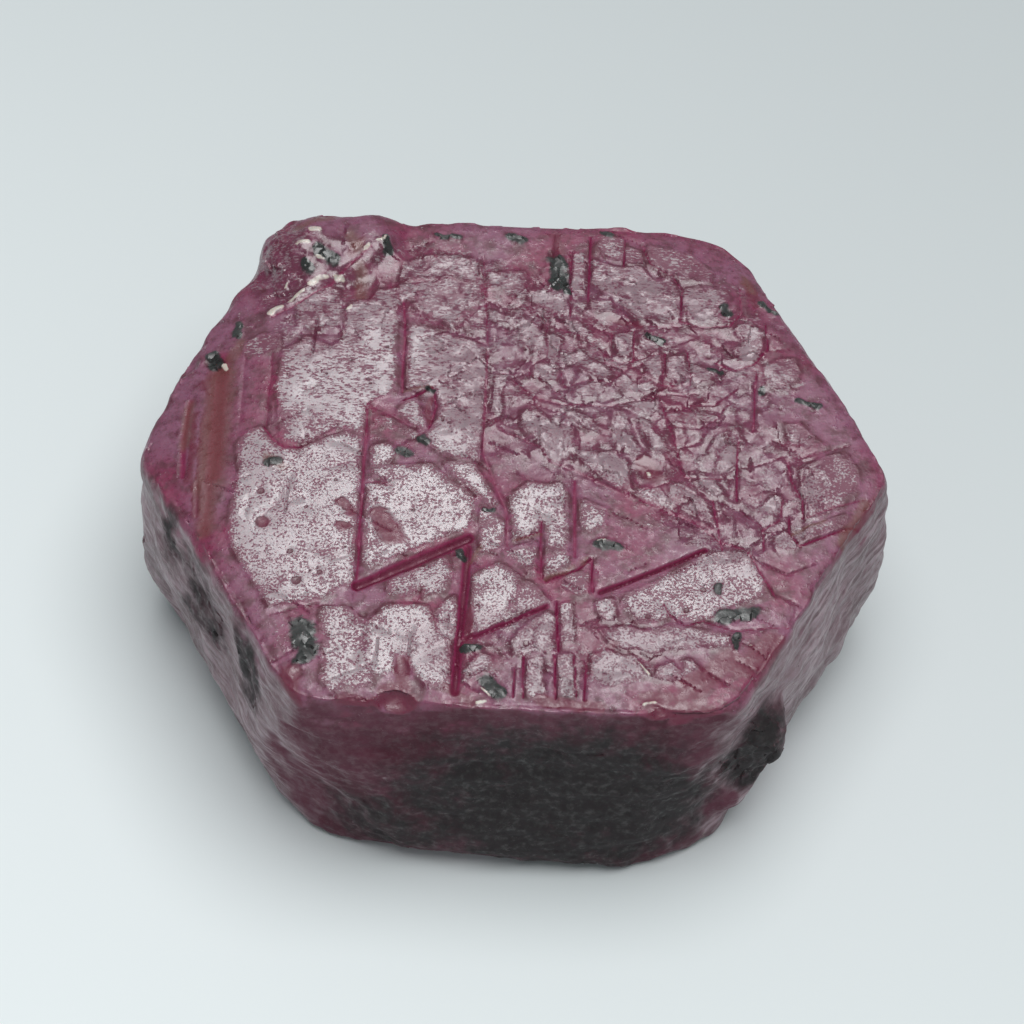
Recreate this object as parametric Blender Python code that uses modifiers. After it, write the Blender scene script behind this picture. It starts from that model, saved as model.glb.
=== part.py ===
"""Raw ruby crystal: a short six-sided corundum prism that grew as one piece.

The flat upper end carries the stepped plates, straight furrows and pits of a natural growth face.
All lengths are in millimetres until the finished mesh is brought to metres.
"""

import math

import bmesh
import bpy
import numpy as np
from mathutils import Vector

# Driving sizes (mm).
HEIGHT = 15.5
BLOCK_SIDE = 60.0
EDGE_SHARPNESS = 1.9  # larger values give crisper corners between the faces
GRID_STEP = 0.22
FACE_COUNT = 9400
METRES_PER_MM = 0.001
NOISE_CELLS = 32  # cells along each side of a noise table before it repeats

# Crystal faces: compass direction of the outward normal (deg), lean (deg, positive where the face looks
# upwards), and the distance of the face from the axis at the stated level.
FACES = (
    # azimuth, lean, reach, level
    (270.0, 2.4, 16.95, HEIGHT),  # front prism face
    (332.0, 2.0, 18.55, HEIGHT),  # front right
    (26.0, 2.0, 18.35, HEIGHT),  # back right
    (90.0, -2.0, 17.5, HEIGHT),  # back
    (155.0, 1.0, 20.35, 14.2),  # back left
    (167.0, 2.0, 20.6, 14.2),  # narrow face between the two on the left
    (211.0, 6.5, 17.95, HEIGHT),  # front left
    (243.0, -7.0, 20.0, HEIGHT),  # blunted edge, front left
    (300.0, -8.0, 20.5, HEIGHT),  # blunted edge, front right
    (55.0, -4.0, 20.6, HEIGHT),  # blunted edge, back right
    (210.0, -18.0, 19.45, 6.5),  # undercut below the left corner
    (334.0, -17.0, 19.05, 7.0),  # undercut below the right corner
    (27.0, -14.0, 18.5, 6.0),  # undercut, back right
    (92.0, -12.0, 17.5, 5.0),  # undercut, back
    (265.5, -40.0, 17.6, 1.2),  # undercut, front
    (157.0, -16.0, 20.6, 6.0),  # undercut, back left
    (172.0, 72.0, 15.5, HEIGHT),  # broad shoulder along the left rim
    (46.0, 68.0, 19.0, 15.0),  # slope at the back right corner
    (0.0, 90.0, 0.0, HEIGHT),  # upper end face
    (0.0, -90.0, 0.0, 0.0),  # resting face
)

# Lumps grown onto the rim and hollows broken out of it: centre, radius.
LUMPS = (
    ((-12.2, 14.3, 13.1), 3.8),
    ((-9.9, 14.9, 12.9), 3.8),
    ((12.8, -12.7, 8.8), 2.5),
    ((13.1, -12.0, 6.6), 2.3),
    ((12.0, -12.6, 4.2), 2.3),
)
HOLLOWS = (
    ((-5.4, -17.6, 15.9), 1.5),
    ((8.1, -17.5, 16.0), 1.2),
    ((-19.4, 6.6, 14.9), 1.3),
    ((15.6, 13.0, 15.6), 1.6),
    ((20.0, 4.4, 15.4), 1.1),
    ((-20.8, 0.0, 8.4), 1.6),
    ((17.2, 5.6, 7.0), 1.4),
)
LUMP_BLEND = 1.3
LUMP_UNEVENNESS = 0.35
LUMP_GRAIN = 1.7
HOLLOW_BLEND = 0.3
SETTLING_ROUNDS = 8  # steps that bring a point onto the rounded body

# Furrows of the upper face: points, half width, depth, and the fall of the ground on the right-hand side
# when walking from the first point to the last.
FURROWS = (
    (((-7.0, 10.7), (-6.8, 3.7)), 0.30, 0.25, 0.0),
    (((-7.3, 12.0), (-7.0, 10.7)), 0.12, 0.10, 0.0),
    (((-6.2, 11.9), (-6.1, 10.5)), 0.12, 0.10, 0.0),
    (((-6.5, 10.0), (-1.9, 7.7)), 0.16, 0.13, 0.10),
    (((-2.6, 13.8), (-2.3, 10.6), (-2.1, 8.8)), 0.16, 0.13, 0.0),
    (((-2.5, 10.7), (-3.7, 8.6)), 0.20, 0.10, 0.0),
    (((-1.9, 7.7), (-1.7, 1.5), (-1.6, -1.4), (-0.9, -2.7), (-0.2, -3.7), (0.0, -6.2)), 0.34, 0.27, -0.12),
    (((-6.7, 3.4), (-5.0, 4.3)), 0.20, 0.24, 0.10),
    (((-4.9, 4.4), (-4.9, 1.3)), 0.34, 0.25, 0.0),
    (((-8.3, 3.2), (-5.1, 1.7)), 0.14, 0.14, 0.0),
    (((-8.3, 2.5), (-5.1, 1.0)), 0.14, 0.14, 0.0),
    (((-8.3, 2.9), (-8.1, -2.4), (-8.0, -8.9)), 0.24, 0.27, 0.0),
    (((-8.2, -9.5), (-1.9, -5.7)), 0.40, 0.36, 0.35),
    (((-1.9, -3.8), (-1.9, -5.5)), 0.12, 0.12, 0.0),
    (((-3.9, -1.5), (-1.8, -3.3), (-0.6, -4.2)), 0.14, 0.13, 0.0),
    (((3.3, -1.1), (11.0, -5.9)), 0.60, 0.24, 0.35),
    (((3.2, -1.1), (3.5, -6.9)), 0.34, 0.25, 0.0),
    (((0.2, -6.4), (1.7, -5.5)), 0.14, 0.18, 0.08),
    (((1.6, -5.5), (1.8, -8.6)), 0.24, 0.19, 0.0),
    (((2.1, -8.5), (4.3, -7.2)), 0.22, 0.20, 0.12),
    (((4.4, -7.2), (4.4, -9.6)), 0.20, 0.18, 0.0),
    (((4.4, -9.7), (10.8, -6.0)), 0.38, 0.30, 0.10),
    (((-0.5, -7.3), (1.6, -9.4), (4.3, -10.1)), 0.16, 0.13, 0.08),
    (((-1.7, -12.9), (2.5, -10.3)), 0.32, 0.27, 0.12),
    (((2.7, -10.0), (2.8, -13.2)), 0.20, 0.18, 0.0),
    (((-2.1, -6.1), (-2.2, -10.9), (-2.5, -15.8)), 0.46, 0.30, 0.0),
    (((-6.4, -10.2), (-3.5, -10.1)), 0.12, 0.11, 0.0),
    (((-6.4, -10.7), (-4.4, -10.6), (-4.0, -11.4)), 0.12, 0.11, 0.0),
    (((-13.4, -11.8), (-10.9, -10.7), (-8.2, -9.5)), 0.18, 0.13, 0.15),
    (((2.3, 16.4), (2.5, 9.8)), 0.16, 0.16, 0.0),
    (((3.4, 16.4), (3.5, 11.4)), 0.16, 0.16, 0.0),
    (((5.5, 16.4), (5.6, 14.1)), 0.16, 0.13, 0.0),
    (((-0.1, 11.2), (2.3, 9.7)), 0.18, 0.14, 0.08),
    (((13.6, 11.9), (13.7, 8.1), (12.2, 6.8)), 0.24, 0.17, -0.15),
    (((13.9, 7.9), (15.3, 8.6)), 0.16, 0.14, 0.0),
    (((15.4, -5.6), (18.2, -4.4)), 0.20, 0.20, 0.10),
    (((15.2, 0.3), (15.8, -3.6), (15.4, -5.6)), 0.22, 0.18, 0.0),
    (((15.2, 0.3), (18.6, 1.6)), 0.20, 0.14, 0.0),
    (((9.7, -10.3), (12.6, -11.4), (15.4, -11.2)), 0.30, 0.20, 0.10),
    (((-12.9, 7.4), (-13.0, 0.2), (-15.3, -0.2), (-14.6, -8.2), (-13.2, -11.6)), 0.26, 0.13, -0.10),
    (((-16.9, 5.6), (-16.3, -0.4), (-15.9, -5.8)), 0.55, 0.45, 0.0),
    (((-18.1, 3.6), (-18.2, -1.6)), 0.35, 0.27, 0.0),
    (((-14.3, 9.7), (-12.0, 12.2), (-9.9, 15.3)), 0.30, 0.18, 0.0),
    (((6.2, 2.2), (7.9, 1.0), (9.6, 0.9)), 0.20, 0.14, 0.10),
    (((3.6, 6.2), (6.4, 4.5), (8.8, 3.4)), 0.22, 0.16, 0.12),
    (((0.2, 4.8), (3.4, 3.0)), 0.20, 0.14, 0.10),
    (((-1.4, 3.2), (1.9, 1.4), (3.2, -0.8)), 0.22, 0.16, 0.12),
    (((6.4, 14.3), (8.7, 12.1), (9.0, 9.6)), 0.18, 0.13, 0.0),
    (((9.2, -6.2), (9.6, -3.0), (8.6, 0.4), (9.4, 4.8)), 0.22, 0.18, 0.0),
    (((11.2, -5.8), (12.6, -9.0)), 0.22, 0.17, 0.0),
)
FALL_LENGTH = 2.2  # distance over which a furrow's fall levels out again
FALL_REACH = 0.8  # how far the fall runs on past the ends of its furrow
FURROW_SWAY = 0.10
FURROW_SWAY_SIZE = 1.6
FURROW_UNEVENNESS = 0.22
FURROW_UNEVENNESS_SIZE = 0.9
TRENCH_FLOOR = 0.35  # where the trench starts to rise, in half widths from its middle
TRENCH_RIM = 1.25  # where it has risen all the way

# Round pits of the upper face: centre, radius, depth.
PITS = (
    ((-13.4, -5.6), 0.55, 0.27),
    ((-13.7, -3.4), 0.30, 0.18),
    ((-7.5, -11.3), 0.35, 0.21),
    ((-10.7, -15.2), 0.30, 0.18),
    ((7.5, -11.2), 0.32, 0.18),
    ((9.4, -10.3), 0.28, 0.17),
    ((7.4, -1.2), 0.85, 0.21),
    ((11.4, 10.9), 0.45, 0.21),
    ((13.5, 5.0), 0.45, 0.18),
    ((-12.2, 13.4), 0.50, 0.27),
    ((5.3, -6.2), 0.60, 0.21),
    ((-0.3, -15.4), 0.60, 0.24),
    ((-10.4, -13.1), 0.80, 0.18),
)
PIT_FLOOR = 0.35  # where the pit starts to rise, in radii from its centre
PIT_RIM = 1.15  # where it has risen all the way

# Small crystal plates crowded together right of the middle.
CRACKLE_CENTRE = (11.9, -0.8)
CRACKLE_HALF = (3.4, 5.6)
CRACKLE_DEPTH = 0.16
CRACKLE_INNER = 0.75  # squared distance from the centre, in half sizes, where the crackle starts to fade
CRACKLE_OUTER = 1.35  # where it is gone
PLATE_SIZE = 1.5
PLATE_ROW_STEP = 1.28
PLATE_JITTER = 0.72
PLATE_TILT = 0.12
PLATE_FURROW_FLOOR = 0.10  # a plate's furrow starts to rise at this gap between two plates
PLATE_FURROW_RIM = 0.42  # and has risen all the way at this one

# Patches of close parallel ribs: centre, half sizes, compass direction the ribs run in, pitch, height.
RIBS = (
    ((3.7, -11.5), (0.9, 1.4), 90.0, 0.55, 0.12),
    ((2.4, -14.7), (2.3, 1.5), 90.0, 0.62, 0.15),
    ((2.6, 6.6), (3.6, 2.6), -30.0, 0.95, 0.09),
    ((6.2, 3.2), (2.4, 2.6), -30.0, 0.80, 0.10),
    ((8.4, 9.6), (3.4, 2.6), 90.0, 1.10, 0.08),
    ((-4.0, 13.8), (3.0, 1.8), -30.0, 0.90, 0.08),
)
RIB_WANDER = 0.35
RIB_WANDER_SIZE = 1.7
RIB_INNER = 0.7  # distance from the patch's centre, in half sizes, where the ribs start to fade
RIB_OUTER = 1.3  # where they are gone
RIB_LEVEL = 0.7  # share of a rib's height that lies below the ground, so that ribs don't raise it

# Gentle waves of the upper face: size of the bumps along each axis, height.
UPPER_WAVES = (
    ((5.0, 5.0, 9.0), 0.16),
    ((1.9, 1.4, 9.0), 0.06),
)

# Relief of the prism faces.
GROWTH_LINE_LENGTH = 6.0
GROWTH_LINE_PITCH = 0.9
GROWTH_LINE_HEIGHT = 0.16
SWELL_SIZE = 5.0
SWELL_HEIGHT = 0.42
ROUGHNESS_SIZE = 1.3
ROUGHNESS_HEIGHT = 0.16

# Upward part of the outward direction where a prism face gives way to the upper or the resting face.
UPPER_TURN = (0.60, 0.88)
LOWER_TURN = (0.60, 0.95)
FOOT_HEIGHT = 0.02  # anything lower than this lies on the resting plane

# Rough matrix patches that bite a little into the prism faces: centre, half sizes.
MATRIX_PATCHES = (
    ((1.8, -16.8, 5.2), (9.0, 3.0, 4.6)),
    ((-18.6, -5.6, 8.0), (2.6, 3.4, 3.4)),
    ((-14.8, -10.8, 7.4), (2.0, 2.6, 4.2)),
    ((5.0, 17.0, 6.0), (6.0, 3.0, 4.0)),
    ((13.8, -12.6, 6.0), (2.4, 2.6, 4.6)),
)
MATRIX_GRAIN = 0.75
MATRIX_HEIGHT = 0.22
MATRIX_BITE = 0.18
MATRIX_INNER = 0.7  # squared distance from a patch's centre, in half sizes, where it starts to fade
MATRIX_OUTER = 1.2  # where it is gone

RUBY_COLOUR = (0.19, 0.032, 0.062, 1.0)
RUBY_ROUGHNESS = 0.35


def smooth_rise(values, low, high):
    """0 below low, 1 above high, and an S curve between them."""
    t = np.clip((values - low) / (high - low), 0.0, 1.0)
    return t * t * (3.0 - 2.0 * t)


def lattice_noise(points, cell, seed):
    """Smooth random heights between -1 and 1, with bumps about as large as cell (one size for each axis)."""
    table = np.random.default_rng(seed).uniform(-1.0, 1.0, (NOISE_CELLS,) * 3)
    scaled = points / np.asarray(cell, float)
    corner = np.floor(scaled).astype(int)
    part = scaled - corner
    part = part * part * (3.0 - 2.0 * part)
    total = np.zeros(len(points))
    for dx in (0, 1):
        for dy in (0, 1):
            for dz in (0, 1):
                near = np.where((dx, dy, dz), part, 1.0 - part)
                index = (corner + (dx, dy, dz)) % NOISE_CELLS
                total += near.prod(axis=1) * table[index[:, 0], index[:, 1], index[:, 2]]
    return total


def face_planes():
    """Unit normals and offsets of the crystal's faces."""
    normals = []
    offsets = []
    for azimuth, lean, reach, level in FACES:
        turn = math.radians(azimuth)
        tilt = math.radians(lean)
        normal = (math.cos(turn) * math.cos(tilt), math.sin(turn) * math.cos(tilt), math.sin(tilt))
        touch = (reach * math.cos(turn), reach * math.sin(turn), level)
        normals.append(normal)
        offsets.append(sum(a * b for a, b in zip(normal, touch)))
    return np.array(normals), np.array(offsets)


def rounded_body(points, normals, offsets):
    """Signed distance of each point from the body with its rounded corners, and the outward direction."""
    over = points @ normals.T - offsets
    share = np.exp(EDGE_SHARPNESS * (over - over.max(axis=1, keepdims=True)))
    total = share.sum(axis=1, keepdims=True)
    distance = over.max(axis=1) + np.log(total[:, 0]) / EDGE_SHARPNESS
    outward = (share / total) @ normals
    uneven = LUMP_UNEVENNESS * lattice_noise(points, LUMP_GRAIN, 14)
    for centre, radius in LUMPS:
        away = points - centre
        length = np.linalg.norm(away, axis=1) + uneven
        blend = smooth_rise(distance - (length - radius), -LUMP_BLEND, LUMP_BLEND)
        distance = distance * (1.0 - blend) + (length - radius) * blend
        outward = outward * (1.0 - blend[:, None]) + away / length[:, None] * blend[:, None]
    for centre, radius in HOLLOWS:
        away = points - centre
        length = np.linalg.norm(away, axis=1)
        blend = smooth_rise(radius - length - distance, -HOLLOW_BLEND, HOLLOW_BLEND)
        distance = distance * (1.0 - blend) + (radius - length) * blend
        outward = outward * (1.0 - blend[:, None]) - away / length[:, None] * blend[:, None]
    return distance, outward / np.linalg.norm(outward, axis=1, keepdims=True)


def settle_on_body(points):
    """Moves the points onto the rounded body, and returns them with the outward direction at each."""
    normals, offsets = face_planes()
    for _ in range(SETTLING_ROUNDS):
        distance, outward = rounded_body(points, normals, offsets)
        points = points - outward * distance[:, None]
    return points, rounded_body(points, normals, offsets)[1]


def furrow_heights(points):
    """Depth of the straight furrows and the small falls of the ground beside them."""
    sway = np.column_stack([lattice_noise(points, FURROW_SWAY_SIZE, seed) for seed in (8, 9)])
    flat = points[:, :2] + FURROW_SWAY * sway
    uneven = 1.0 + FURROW_UNEVENNESS * lattice_noise(points, FURROW_UNEVENNESS_SIZE, 10)
    trench = np.zeros(len(flat))
    ground = np.zeros(len(flat))
    for route, half_width, depth, fall in FURROWS:
        for start, end in zip(route[:-1], route[1:]):
            along = np.subtract(end, start)
            length = np.hypot(*along)
            along = along / length
            offset = flat - start
            run = offset @ along
            side = offset @ (along[1], -along[0])
            beyond = np.maximum(np.maximum(-run, run - length), 0.0)
            distance = np.hypot(side, beyond) * uneven / half_width
            trench = np.maximum(trench, depth * (1.0 - smooth_rise(distance, TRENCH_FLOOR, TRENCH_RIM)))
            if fall:
                window = np.exp(-((beyond / FALL_REACH) ** 2)) * smooth_rise(side, -half_width, half_width)
                fading = np.exp(-np.maximum(side, 0.0) / FALL_LENGTH)
                ground -= fall * window * fading / (len(route) - 1)
    return ground - trench


def pit_heights(flat):
    heights = np.zeros(len(flat))
    for centre, radius, depth in PITS:
        distance = np.hypot(*(flat - centre).T)
        heights -= depth * (1.0 - smooth_rise(distance / radius, PIT_FLOOR, PIT_RIM))
    return heights


def plate_seeds():
    """Centres of the crowded plates, on a jittered grid, with the level and the two slopes of each."""
    random = np.random.default_rng(11)
    reach = np.add(CRACKLE_HALF, PLATE_SIZE)
    seeds = []
    for row in np.arange(-reach[1], reach[1], PLATE_ROW_STEP):
        for column in np.arange(-reach[0], reach[0], PLATE_SIZE):
            seeds.append((column, row) + random.uniform(-PLATE_JITTER, PLATE_JITTER, 2) + CRACKLE_CENTRE)
    return np.array(seeds), random.uniform(-PLATE_TILT, PLATE_TILT, (len(seeds), 3))


def crackle_heights(flat):
    """Each plate has its own level and tilt, with a furrow around it."""
    heights = np.zeros(len(flat))
    outwards = (((flat - CRACKLE_CENTRE) / CRACKLE_HALF) ** 2).sum(axis=1)
    inside = outwards < CRACKLE_OUTER
    near = flat[inside]
    seeds, tilts = plate_seeds()
    distances = np.hypot(near[:, None, 0] - seeds[None, :, 0], near[:, None, 1] - seeds[None, :, 1])
    order = np.argsort(distances, axis=1)
    rows = np.arange(len(near))
    first = order[:, 0]
    gap = distances[rows, order[:, 1]] - distances[rows, first]
    away = near - seeds[first]
    level = tilts[first, 0] + (away * tilts[first, 1:]).sum(axis=1)
    furrow = CRACKLE_DEPTH * (1.0 - smooth_rise(gap, PLATE_FURROW_FLOOR, PLATE_FURROW_RIM))
    fade = 1.0 - smooth_rise(outwards[inside], CRACKLE_INNER, CRACKLE_OUTER)
    heights[inside] = (level - furrow) * fade
    return heights


def rib_heights(points):
    flat = points[:, :2]
    heights = np.zeros(len(flat))
    wander = RIB_WANDER * lattice_noise(points, RIB_WANDER_SIZE, 12)
    for centre, half, direction, pitch, height in RIBS:
        away = np.abs(flat - centre) / half
        fade = (1.0 - smooth_rise(away, RIB_INNER, RIB_OUTER)).prod(axis=1)
        turn = math.radians(direction)
        across = (flat - centre) @ (-math.sin(turn), math.cos(turn)) + wander
        heights += fade * height * (np.abs(np.sin(math.pi * across / pitch)) - RIB_LEVEL)
    return heights


def upper_face_heights(points):
    flat = points[:, :2]
    heights = furrow_heights(points) + rib_heights(points) + pit_heights(flat) + crackle_heights(flat)
    for seed, (size, height) in enumerate(UPPER_WAVES, start=3):
        heights += lattice_noise(points, size, seed) * height
    return heights


def prism_face_heights(points):
    """Level growth lines, broad swells and a coarse roughness."""
    line_size = (GROWTH_LINE_LENGTH, GROWTH_LINE_LENGTH, GROWTH_LINE_PITCH)
    lines = lattice_noise(points, line_size, 5) * GROWTH_LINE_HEIGHT
    swells = lattice_noise(points, SWELL_SIZE, 6) * SWELL_HEIGHT
    rough = lattice_noise(points, ROUGHNESS_SIZE, 7) * ROUGHNESS_HEIGHT
    heights = lines + swells + rough
    grain = lattice_noise(points, MATRIX_GRAIN, 13) * MATRIX_HEIGHT - MATRIX_BITE
    for centre, half in MATRIX_PATCHES:
        away = (((points - centre) / half) ** 2).sum(axis=1)
        heights += grain * (1.0 - smooth_rise(away, MATRIX_INNER, MATRIX_OUTER))
    return heights


def carve_relief(points):
    """Adds the relief of every face. The resting face stays flat."""
    points, outward = settle_on_body(points)
    upper = smooth_rise(outward[:, 2], *UPPER_TURN)
    lower = smooth_rise(-outward[:, 2], *LOWER_TURN)
    shift = outward * (prism_face_heights(points) * (1.0 - upper) * (1.0 - lower))[:, None]
    shift[:, 2] += upper_face_heights(points) * upper
    points = points + shift
    points[:, 2] = np.maximum(points[:, 2], 0.0)
    return points


def flat_sided_block():
    """A block cut down by the crystal's faces."""
    block = bmesh.new()
    bmesh.ops.create_cube(block, size=BLOCK_SIDE)
    normals, offsets = face_planes()
    for normal, offset in zip(normals, offsets):
        everything = block.verts[:] + block.edges[:] + block.faces[:]
        touch = Vector(normal) * offset
        bmesh.ops.bisect_plane(block, geom=everything, plane_co=touch, plane_no=normal, clear_outer=True)
        rim = [edge for edge in block.edges if edge.is_boundary]
        bmesh.ops.holes_fill(block, edges=rim)
    mesh = bpy.data.meshes.new("ruby_crystal")
    block.to_mesh(mesh)
    block.free()
    return mesh


def modified_mesh(crystal):
    """The crystal's mesh with its modifiers taken in."""
    graph = bpy.context.evaluated_depsgraph_get()
    mesh = bpy.data.meshes.new_from_object(crystal.evaluated_get(graph))
    crystal.modifiers.clear()
    return mesh


def vertex_array(mesh):
    flat = np.empty(len(mesh.vertices) * 3, np.float32)
    mesh.vertices.foreach_get("co", flat)
    return flat.reshape(-1, 3).astype(float)


def place_vertices(mesh, points):
    mesh.vertices.foreach_set("co", points.astype(np.float32).ravel())
    mesh.update()


def ruby_material():
    material = bpy.data.materials.new("ruby")
    material.use_nodes = True
    shader = material.node_tree.nodes["Principled BSDF"]
    shader.inputs["Base Color"].default_value = RUBY_COLOUR
    shader.inputs["Roughness"].default_value = RUBY_ROUGHNESS
    shader.inputs["Metallic"].default_value = 0.0
    return material


def make_crystal(collection):
    crystal = bpy.data.objects.new("ruby_crystal", flat_sided_block())
    collection.objects.link(crystal)

    even = crystal.modifiers.new("even grid", "REMESH")
    even.mode = "VOXEL"
    even.voxel_size = GRID_STEP
    crystal.data = modified_mesh(crystal)
    place_vertices(crystal.data, carve_relief(vertex_array(crystal.data)))

    crystal.data.calc_loop_triangles()
    fewer = crystal.modifiers.new("fewer faces", "DECIMATE")
    fewer.ratio = FACE_COUNT / len(crystal.data.loop_triangles)
    fewer.use_collapse_triangulate = True
    crystal.data = modified_mesh(crystal)

    points = vertex_array(crystal.data)
    points[points[:, 2] < FOOT_HEIGHT, 2] = 0.0
    centre = (points.min(axis=0) + points.max(axis=0)) / 2.0
    points[:, :2] -= centre[:2]
    place_vertices(crystal.data, points * METRES_PER_MM)
    crystal.data.materials.append(ruby_material())
    return crystal


def main():
    for old in list(bpy.data.objects):
        bpy.data.objects.remove(old, do_unlink=True)
    collection = bpy.data.collections.new("raw ruby crystal")
    bpy.context.scene.collection.children.link(collection)
    make_crystal(collection)


main()
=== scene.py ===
"""Looks of the raw ruby crystal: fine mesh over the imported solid, material, floor, lights and camera."""

import math

import bmesh
import bpy
import numpy as np
from mathutils import Matrix, Vector


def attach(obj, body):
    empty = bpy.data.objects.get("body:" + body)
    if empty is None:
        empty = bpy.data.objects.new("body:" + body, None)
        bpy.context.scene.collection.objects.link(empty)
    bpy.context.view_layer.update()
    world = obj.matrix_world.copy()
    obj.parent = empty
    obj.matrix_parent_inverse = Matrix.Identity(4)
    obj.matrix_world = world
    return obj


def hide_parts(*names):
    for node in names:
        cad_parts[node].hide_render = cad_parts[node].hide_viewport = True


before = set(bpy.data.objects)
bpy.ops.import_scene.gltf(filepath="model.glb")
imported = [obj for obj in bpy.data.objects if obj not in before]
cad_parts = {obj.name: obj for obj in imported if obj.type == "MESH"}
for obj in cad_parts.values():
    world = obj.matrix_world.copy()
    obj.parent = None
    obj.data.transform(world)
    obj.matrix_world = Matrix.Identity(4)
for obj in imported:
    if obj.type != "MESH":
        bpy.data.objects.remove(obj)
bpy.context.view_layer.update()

MM = 0.001

# Driving sizes of the form (mm).
HEIGHT = 15.5
BLOCK_SIDE = 60.0
EDGE_SHARPNESS = 2.6  # larger values give crisper corners between the faces
GRID_STEP = 0.105
SETTLE_STEPS = 6  # rounds that draw the grid's points onto the body
FACE_COUNT = 196000
SHARP_ANGLE = 38.0  # edges sharper than this are shaded crisp

# Crystal faces: compass direction of the outward normal (deg), lean (deg, positive where the face looks
# upwards), and the distance of the face from the axis at the stated level.
FACES = (
    # azimuth, lean, reach, level
    (270, 2.4, 16.95, HEIGHT),  # front prism face
    (332, 2, 18.55, HEIGHT),  # front right
    (26, 2, 18.35, HEIGHT),  # back right
    (90, -2, 17.5, HEIGHT),  # back
    (155, 1, 20.35, 14.2),  # back left
    (167, 2, 20.6, 14.2),  # narrow face between the two on the left
    (211, 6.5, 17.95, HEIGHT),  # front left
    (243, -7, 20, HEIGHT),  # blunted edge, front left
    (300, -8, 20.5, HEIGHT),  # blunted edge, front right
    (55, -4, 20.6, HEIGHT),  # blunted edge, back right
    (210, -18, 19.45, 6.5),  # undercut below the left corner
    (334, -17, 19.05, 7),  # undercut below the right corner
    (27, -14, 18.5, 6),  # undercut, back right
    (92, -12, 17.5, 5),  # undercut, back
    (265.5, -40, 17.6, 1.2),  # undercut, front
    (157, -16, 20.6, 6),  # undercut, back left
    (172, 72, 15.5, HEIGHT),  # broad shoulder along the left rim
    (46, 68, 19, 15),  # slope at the back right corner
    (0, 90, 0, HEIGHT),  # upper end face
    (0, -90, 0, 0),  # resting face
)

# Lumps grown onto the rim and hollows broken out of it: centre, radius.
LUMPS = (
    ((-12.2, 14.3, 13.1), 3.8),
    ((-9.9, 14.9, 12.9), 3.8),
    ((12.8, -12.7, 8.8), 2.5),
    ((13.1, -12, 6.6), 2.3),
    ((12, -12.6, 4.2), 2.3),
)
LUMP_BLEND = 1.3
HOLLOWS = (
    ((-5.4, -17.6, 15.9), 1.5),
    ((8.1, -17.5, 16), 1.2),
    ((-19.4, 6.6, 14.9), 1.3),
    ((15.6, 13, 15.6), 1.6),
    ((20, 4.4, 15.4), 1.1),
    ((-20.8, 0, 8.4), 1.6),
    ((17.2, 5.6, 7), 1.4),
)
HOLLOW_BLEND = 0.3

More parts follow.
